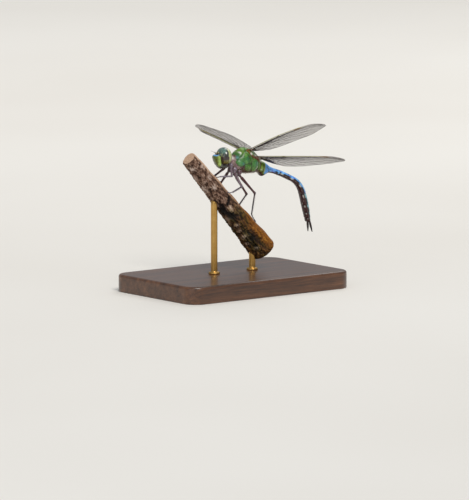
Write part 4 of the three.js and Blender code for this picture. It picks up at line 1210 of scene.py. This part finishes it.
def bark_relief(down, angle):
    """Height of the bark and the bare wood over the plain stem, and their colour masks, with painted light
    and shade in them.
    """
    flat = stem_point(down, angle) * (0.45, 1, 1)
    lumps, flakes = rough(flat, 2.2, 4, seed=1), rough(flat, 0.8, 4, seed=2)
    pits = rough(flat * (1.6, 1, 1), 1.1, 3, seed=4)
    turned = off_top(angle)
    edge = 54 + 6 * lumps + 4 * flakes
    bare = ease(turned, edge + 5, edge - 5) * ease(turned, -40 - 14 * lumps, -28 - 14 * lumps)
    # A golden glow over the upper half of the stem's lower part: painted light, laid on as bare wood and so
    # in its amber colours.
    painted_glow = ease(turned, 112 + 16 * lumps, 60 + 16 * lumps) * ease(down, 18, 32) * ease(turned, -70, -40)
    wet = ease(down + 5 * lumps, 9, 21)
    bark = 1 - bare
    course = np.stack([down / 2, turned / 14], -1)
    crack, curl = near(course, CRACK, 0.36), near(course, CURL, 0.16)
    gall = oval(down, turned, *GALL)
    hollow = sum(depth * oval(down, turned, middle, radii) for middle, radii, depth in HOLLOWS)
    hollow = np.clip(hollow, 0, 1) * (1 - gall)
    knobs = sum(size * oval(down, turned, (at_down, at_turned), (2.2 * size + 0.35, 26 * size + 6))
                for at_down, at_turned, size in KNOBS)
    # The bark's loose rind stands in steps over the wood below.
    step = 0.16 * ease(flakes, 0.05, 0.16) + 0.14 * ease(lumps, 0.1, 0.18)
    rind = 0.24 * lumps + 0.16 * flakes + step - 0.34 * ease(pits, 0.22, 0.5) + 0.5 * knobs - 0.15
    rind = rind - 0.5 * crack - 0.6 * hollow + 0.5 * gall - 0.35 * curl
    height = bark * rind + bare * (0.05 * lumps + 0.02 * flakes - 0.1)
    ends = ease(down, -STEM["above"], -STEM["above"] + 0.5) * ease(down, STEM["below"], STEM["below"] - 0.5)
    height = np.clip(height * (0.35 + 0.65 * ends) - 0.22 * (1 - ends), -0.95, 0.5)
    # The bark's tone follows its height: lighter on knobs and raised flakes, darker in pits, cracks and
    # hollows. This is painted light and shade over the bark's own mottled tone.
    tone = 0.5 + 0.5 * (height - 0.14 * bark * lumps) + 0.22 * flakes + 0.3 * knobs + 0.2 * gall
    tone = tone - 0.5 * (crack + hollow)
    pale = bark * (1.5 * knobs * ease(flakes, -0.3, 0.2) + 0.5 * gall * ease(flakes, 0, 0.2) - 0.5 * curl)
    # The wood mask holds the bare wood and the painted glow.
    wood = bare + 0.95 * painted_glow * bark * (1 - 0.7 * hollow)
    return height, stacked(tone, wood, wet), np.stack([down, turned, np.clip(pale, 0, 0.8)], -1)


def grip(down, angle, lift):
    """A point over the bark, in the model's coordinates."""
    place = np.full((1, 1), float(down)), np.full((1, 1), math.radians(angle))
    return IN_STEM.out(stem_point(*place, bark_relief(*place)[0] + lift)[0, 0])


# ------------------------------------------------------------------ legs

# Radius along each part of a leg as [share of the way, share of the radius].
LIMBS = {
    "coxa": ((0, 1.25), (0.45, 1.3), (0.82, 0.95), (1, 0.72)),
    "femur": ((0, 0.8), (0.05, 1.0), (0.1, 0.76), (0.18, 1.14), (0.5, 0.95), (0.9, 0.8), (0.97, 1.0),
              (1, 0.82)),
    "tibia": ((0, 0.9), (0.05, 1.15), (0.12, 0.88), (0.6, 0.9), (0.93, 0.78), (0.98, 0.92), (1, 0.7)),
    "tarsus": ((0, 0.62), (0.2, 0.95), (0.26, 0.66), (0.52, 0.92), (0.58, 0.64), (0.92, 0.95), (1, 0.6)),
}
# How far towards the tip's colour each part starts and ends.
LIMB_REACH = {"coxa": (0.05, 0.1), "femur": (0.12, 0.45), "tibia": (0.5, 0.8), "tarsus": (0.85, 1.0)}
# Spines in two rows: their length, and degrees off the limb's underside.
SPINES = {"femur": (0.55, 24), "tibia": (0.95, 38)}
# How much painted pale sheen, standing in for sky light reflected off the lit near legs, lies on each leg of
# the left side, and on the others, which stand in shade.
LEG_SHEEN = {"front_left": 0.8, "mid_left": 0.7, "hind_left": 0.08}
LITTLE_SHEEN = 0.03


def spines(shape, path, radii, length, spread):
    """Stiff bristles in two rows along a limb, leaning towards its tip."""
    ways = np.gradient(path, axis=0)
    ways /= np.linalg.norm(ways, axis=1, keepdims=True)
    down = np.array((0, 0, -1.0))
    for t in np.linspace(0.08, 0.96, 15):
        k = int(t * (len(path) - 1))
        way = ways[k]
        under = down - way * (down @ way)
        under /= np.linalg.norm(under)
        flank = np.cross(way, under)
        for row in (-spread, spread):
            out = under * math.cos(math.radians(row)) + flank * math.sin(math.radians(row))
            root = path[k] + out * radii[k] * 0.8
            tip = root + (out * 0.75 + way * 0.66) * length * (1 - 0.3 * t)
            bristle = np.array([root, (root + tip) / 2, tip])
            add_tube(shape, bristle, (0.055, 0.035, 0.008), 4, reach=(1, 1, 1))


def claws(shape, foot, way, up):
    """Two hooked claws that spread from the last foot ring."""
    flank = np.cross(way, up)
    for side in (-1, 1):
        path = foot + np.outer((0, 0.3, 0.55, 0.66), way) + side * np.outer((0.05, 0.18, 0.3, 0.34), flank)
        path = path + np.outer((0.02, 0.08, 0.0, -0.2), up)
        add_tube(shape, path, (0.12, 0.1, 0.06, 0.015), 7, reach=(1, 1, 1, 1))


def leg_piece(name, leg):
    """A leg from its socket to the claws, with a ball at each joint and the foot on the bark."""
    radii = LEG_RADII[name.split("_")[0]]
    socket, hip, knee = (IN_BODY.out(point) for point in leg[:3])
    (down, angle, lift), (foot_down, foot_angle, foot_lift) = leg[3:]
    rest = radii["tarsus"]
    pad_at = [a + (b - a) * FOOT_PAD["share"] for a, b in ((down, foot_down), (angle, foot_angle))]
    ankle = grip(down, angle, rest + lift)
    foot = grip(foot_down, foot_angle, 0.7 * rest + foot_lift)
    pad = grip(*pad_at, rest + FOOT_PAD["lift"])
    shape = Shape()
    parts = {"coxa": (socket, hip), "femur": (hip, knee), "tibia": (knee, ankle),
             "tarsus": (ankle, pad, foot)}
    for part, stops in parts.items():
        count = 46 if part in SPINES else 34
        path, shares = smooth_path(stops, count), np.linspace(0, 1, count)
        sizes = along(LIMBS[part], shares) * radii[part]
        add_tube(shape, path, sizes, 14, reach=np.interp(shares, (0, 1), LIMB_REACH[part]))
        if part in SPINES:
            spines(shape, path, sizes, *SPINES[part])
    for joint, part, share in ((hip, "coxa", 0.8), (knee, "femur", 0.95), (ankle, "tibia", 0.85)):
        ball = superball([share * radii[part]] * 3, 2, joint, 12, 16)
        add_grid(shape, ball, reach=np.full(ball.shape[:2], 0.6))
    way = foot - pad
    way /= np.linalg.norm(way)
    off_stem = foot - IN_STEM.out((foot_down, 0, 0))
    up = off_stem - way * (off_stem @ way)
    claws(shape, foot, way, up / np.linalg.norm(up))
    # Painted sheen of reflected sky light: much on the lit near legs, little on the shaded far ones; pale
    # bloom at every leg's root.
    sheen_and_bloom = LEG_SHEEN.get(name, LITTLE_SHEEN)
    reach = np.concatenate(shape.marks["reach"])
    shape.marks["place"] = shape.points
    shape.marks["sheen_and_bloom"] = [np.clip(sheen_and_bloom * (0.75 + 0.5 * reach) + 0.55 * ease(reach, 0.13, 0.04), 0, 1)]
    made = shape.piece(f"leg_{name}", WORLD, [LEG_SKIN])
    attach(made, "root")
    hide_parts(*(f"leg_{name}_{part}" for part in ("femur", "tibia", "tarsus")))


for leg_name, leg in LEGS.items():
    leg_piece(leg_name, leg)

# ------------------------------------------------------------------ claspers


def clasper_piece(side, name):
    """Leaf-shaped clasper: a narrow stalk, widest past the middle, keeled on top."""
    end = SEGMENT_ENDS[-1]
    dip = math.degrees(np.interp(end, AXIS_DISTANCE, AXIS_DIPS))
    turned = turn("y", dip) @ turn("z", side * CERCUS["spread"])
    axes = Place(turned, abdomen_place(end, 0, 0), IN_BODY)
    shares, angles = np.linspace(0, 1, 40), ring_angles(28)
    swell = 0.4 + 0.6 * np.sin(np.pi * (0.16 + 0.8 * shares))
    half = CERCUS["width"] * swell * (1 - 0.55 * shares**4)
    thick = CERCUS["thickness"] * (1 - 0.35 * shares)
    keel = 0.12 * np.outer(np.sin(np.pi * shares), bump(angles, 0, 0.3) + bump(angles, 2 * np.pi, 0.3))
    out = np.repeat(shares[:, None], len(angles), 1)
    grid = np.stack([out * (CERCUS["length"] + 0.4) - 0.3,
                     side * CERCUS["offset"] + np.outer(half, np.sin(angles)),
                     CERCUS["lift"] + np.outer(thick, np.cos(angles)) + keel], -1)
    shape = Shape()
    add_grid(shape, grid, reach=out, place=grid)
    made = shape.piece(name + "_blade", axes, [CLASP_SKIN])
    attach(made, "root")
    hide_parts(name)


for side, pair in zip((-1, 1), PAIRS):
    clasper_piece(side, f"cercus_{pair}")

# ------------------------------------------------------------------ hairs

# patch is the side of one hair's square in the bake's map.
HAIRS = {"count": 4200, "radius": 0.014, "depth": 0.03, "patch": 0.003}


def hair_piece():
    """Fine hairs on the thorax, longest round the neck and between the legs, leaning back."""
    rng = np.random.default_rng(5)
    rows, columns = skin_points.shape[:2]
    last = int(np.searchsorted(skin_stations, START + 3.0))
    shape, patches = Shape(), []
    while len(patches) < HAIRS["count"]:
        r, c = int(rng.integers(12, last)), int(rng.integers(0, columns))
        root, normal = skin_points[r, c], skin_normals[r, c]
        x, _, z = root
        crowd = 0.1 + 0.75 * float(ease(z, -1.5, -4.0)) + 0.7 * float(ease(x, -6, -7.5))
        if x > 3:
            crowd *= 0.6
        if rng.random() > crowd:
            continue
        length = 0.26 + 0.36 * float(ease(z, -1, -4)) + 0.22 * float(ease(x, -6.4, -7.6))
        length *= rng.uniform(0.7, 1.25)
        way = normal * 0.8 + np.array((0.55, 0, -0.12)) + rng.normal(0, 0.16, 3)
        way /= np.linalg.norm(way)
        flank = np.cross(way, (0.3, 0.9, 0.2))
        flank /= np.linalg.norm(flank)
        base = root - normal * HAIRS["depth"]
        angles = np.array((0, 2.1, 4.2))
        round_base = np.outer(np.cos(angles), flank) + np.outer(np.sin(angles), np.cross(way, flank))
        points = np.vstack([base + HAIRS["radius"] * round_base, base + way * length])
        marks = {name: np.repeat(mask[r, c][None], 4, 0) for name, mask in skin_masks.items()}
        shape.add(points, [(2, 1, 0), (0, 1, 3), (1, 2, 3), (2, 0, 3)], **marks)
        patches.append((r / rows, c / columns))
    made = shape.piece("body_hairs", IN_BODY, [HAIR], smooth=False)
    # Each hair has its own small patch of the bake, at its root's place on the skin.
    layer = made.data.uv_layers.new(name="OFBake")
    size = HAIRS["patch"]
    corner = np.array([(0, 0), (size, 0), (size, size), (0, size)])
    loops = np.zeros(len(made.data.loops), int)
    made.data.loops.foreach_get("vertex_index", loops)
    places = np.array(patches)[loops // 4] * (1 - size) + corner[loops % 4]
    layer.data.foreach_set("uv", places.ravel())
    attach(made, "root")


hair_piece()

# ------------------------------------------------------------------ stem and stand


def stem_piece():
    """Dead stem: broken bark with pits and knobs, bare wood along its upper side, sawn ends."""
    rows, columns = 420, 190
    down = np.linspace(-STEM["above"], STEM["below"], rows)
    down_grid, angle_grid = np.meshgrid(down, ring_angles(columns), indexing="ij")
    height, marks, course = bark_relief(down_grid, angle_grid)
    grid = stem_point(down_grid, angle_grid, height)
    # Rings that shrink to the middle of both sawn ends, of bare wood with growth rings. The lower is soaked.
    shares = np.linspace(0.03, 0.96, 26)[:, None, None]
    growth = 0.5 + 0.17 * np.sin(46 * shares ** 0.85 + np.sin(9 * shares))
    flat = np.ones((len(shares), columns, 1))
    top, foot = (np.where((True, False, False), edge, edge * shares) for edge in (grid[0], grid[-1]))
    top_marks, foot_marks = (np.concatenate([flat * growth, flat, flat * soaked], 2) for soaked in (0, 0.7))
    grid = np.concatenate([top, grid, foot[::-1]])
    marks = np.concatenate([top_marks, marks, foot_marks[::-1]])
    course = np.concatenate([0 * top, course, 0 * foot])
    shape = Shape()
    add_grid(shape, grid, place=grid, marks=marks, course=course)
    made = shape.piece("stem_bark", IN_STEM, [BARK])
    # The fans in the middle of both ends lie flat.
    for polygon in list(made.data.polygons)[-2 * columns:]:
        polygon.use_smooth = False
    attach(made, "root")
    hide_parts("perch")


def stand_base():
    """Flat slab with round corners and softly rounded edges."""
    half_length, half_width, corner = BASE["length"] / 2, BASE["width"] / 2, BASE["corner"]
    arc = np.linspace(0, np.pi / 2, 14)
    way = np.c_[np.cos(arc), np.sin(arc)]
    # The same quarter for all four corners, with the ways out of the slab there.
    quarter = (half_length - corner, half_width - corner) + corner * way
    outline, ways = (np.vstack([part, part[::-1] * (-1, 1), -part, part[::-1] * (1, -1)])
                     for part in (quarter, way))
    bevel, height = BASE["bevel"], BASE["height"]
    rounding = np.linspace(0, np.pi / 2, 7)
    rows = [(bevel * 0.5 * (1 - math.sin(a)), bevel * 0.5 * (1 - math.cos(a))) for a in rounding]
    rows += [(bevel * (1 - math.cos(a)), height - bevel * (1 - math.sin(a))) for a in rounding]
    rows += [(bevel + 0.25, height)]
    grid = [np.c_[outline - ways * inset, np.full(len(outline), z)] for inset, z in rows]
    grid = np.array(grid + [grid[-1] * (share, share, 1) for share in (0.8, 0.5, 0.2)])
    shape = Shape()
    add_grid(shape, grid, place=grid)
    made = shape.piece("stand_slab", WORLD, [WALNUT])
    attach(made, "root")
    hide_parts("stand_base")


def stand_rod(name):
    """Turned brass rod with a small foot ring, where the frame has it."""
    low, high = (np.array(corner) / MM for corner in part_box(f"stand_rod_{name}"))
    x, y = (low + high)[:2] / 2
    base, top, radius = BASE["height"], high[2], ROD["radius"]
    # [radius, height] of the foot ring, then of the rod.
    profile = [(2.3, base - 0.2), (2.6, base + 0.15), (2.6, base + 0.75), (2.35, base + 1.0),
               (1.7, base + 1.1), (radius, base + 1.35)]
    profile += [(radius, z) for z in np.linspace(base + 1.6, top, 12)]
    angles = ring_angles(40)
    grid = np.array([np.c_[x + r * np.cos(angles), y + r * np.sin(angles), np.full(len(angles), z)]
                     for r, z in profile])
    shape = Shape()
    add_grid(shape, grid, place=grid)
    made = shape.piece(f"stand_pin_{name}", WORLD, [BRASS])
    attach(made, "root")
    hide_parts(f"stand_rod_{name}")


BARK, WALNUT, BRASS = bark_finish(), walnut_finish(), brass_finish()
stem_piece()
stand_base()
for rod_name in ROD["names"]:
    stand_rod(rod_name)

# ------------------------------------------------------------------ floor, light and camera

VIEW = {"azimuth": -38, "elevation": 8, "distance": 3000, "height": 227.3, "right": -4.77, "up": -40.68}


def floor():
    finish = Finish("pale_floor", Roughness=0.75, Specular_IOR_Level=0.2)
    tone = finish.noise(0.4, 2, finish.node("NewGeometry").outputs[0])
    finish.paint(finish.ramp(tone, [(0.3, (226, 223, 218)), (0.7, (232, 230, 226))]))
    size = 6.0
    mesh = bpy.data.meshes.new("floor")
    corners = [(-size, -size, 0), (size, -size, 0), (size, size, 0), (-size, size, 0)]
    mesh.from_pydata(corners, [], [(0, 1, 2, 3)])
    mesh.materials.append(finish.material)
    made = bpy.data.objects.new("floor", mesh)
    bpy.context.scene.collection.objects.link(made)


def lamp(name, kind, way, distance=1.0, **settings):
    """A light that shines at the body from one direction."""
    target = Vector(BODY["middle"]) * MM
    data = bpy.data.lights.new(name, kind)
    for key, value in settings.items():
        setattr(data, key, value)
    made = bpy.data.objects.new(name, data)
    way = Vector(way).normalized()
    made.location = target + way * distance
    made.rotation_euler = way.to_track_quat("Z", "Y").to_euler()
    bpy.context.scene.collection.objects.link(made)


def world():
    made = bpy.data.worlds.new("studio")
    made.use_nodes = True
    made.node_tree.nodes["Background"].inputs[0].default_value = (0.9, 0.95, 1.0, 1)
    made.node_tree.nodes["Background"].inputs[1].default_value = 0.36
    bpy.context.scene.world = made


def camera():
    azimuth, elevation = math.radians(VIEW["azimuth"]), math.radians(VIEW["elevation"])
    right = Vector((math.cos(azimuth), math.sin(azimuth), 0))
    back = Vector((math.sin(azimuth) * math.cos(elevation), -math.cos(azimuth) * math.cos(elevation),
                   math.sin(elevation)))
    up = back.cross(right)
    target = Vector(BODY["middle"]) + right * VIEW["right"] + up * VIEW["up"]
    lens = bpy.data.cameras.new("camera")
    lens.sensor_fit, lens.sensor_height = "VERTICAL", 24
    lens.lens = lens.sensor_height * VIEW["distance"] / VIEW["height"]
    lens.clip_start, lens.clip_end = 0.1, 50
    made = bpy.data.objects.new("camera", lens)
    made.location = (target + back * VIEW["distance"]) * MM
    made.rotation_euler = back.to_track_quat("Z", "Y").to_euler()
    bpy.context.scene.collection.objects.link(made)
    bpy.context.scene.camera = made


floor()
world()
lamp("key", "SUN", (-0.2, -0.6, 0.78), energy=2.3, angle=0.5, color=(1.0, 0.96, 0.9))
lamp("fill", "AREA", (-0.9, -0.3, 0.25), 1.0, energy=1.2, size=0.7, color=(0.88, 0.94, 1.0))
lamp("rim", "AREA", (0.75, 0.45, 0.9), 1.3, energy=3.4, size=0.7, color=(1.0, 0.98, 0.94))
camera()
bpy.context.scene.view_settings.view_transform = "Standard"
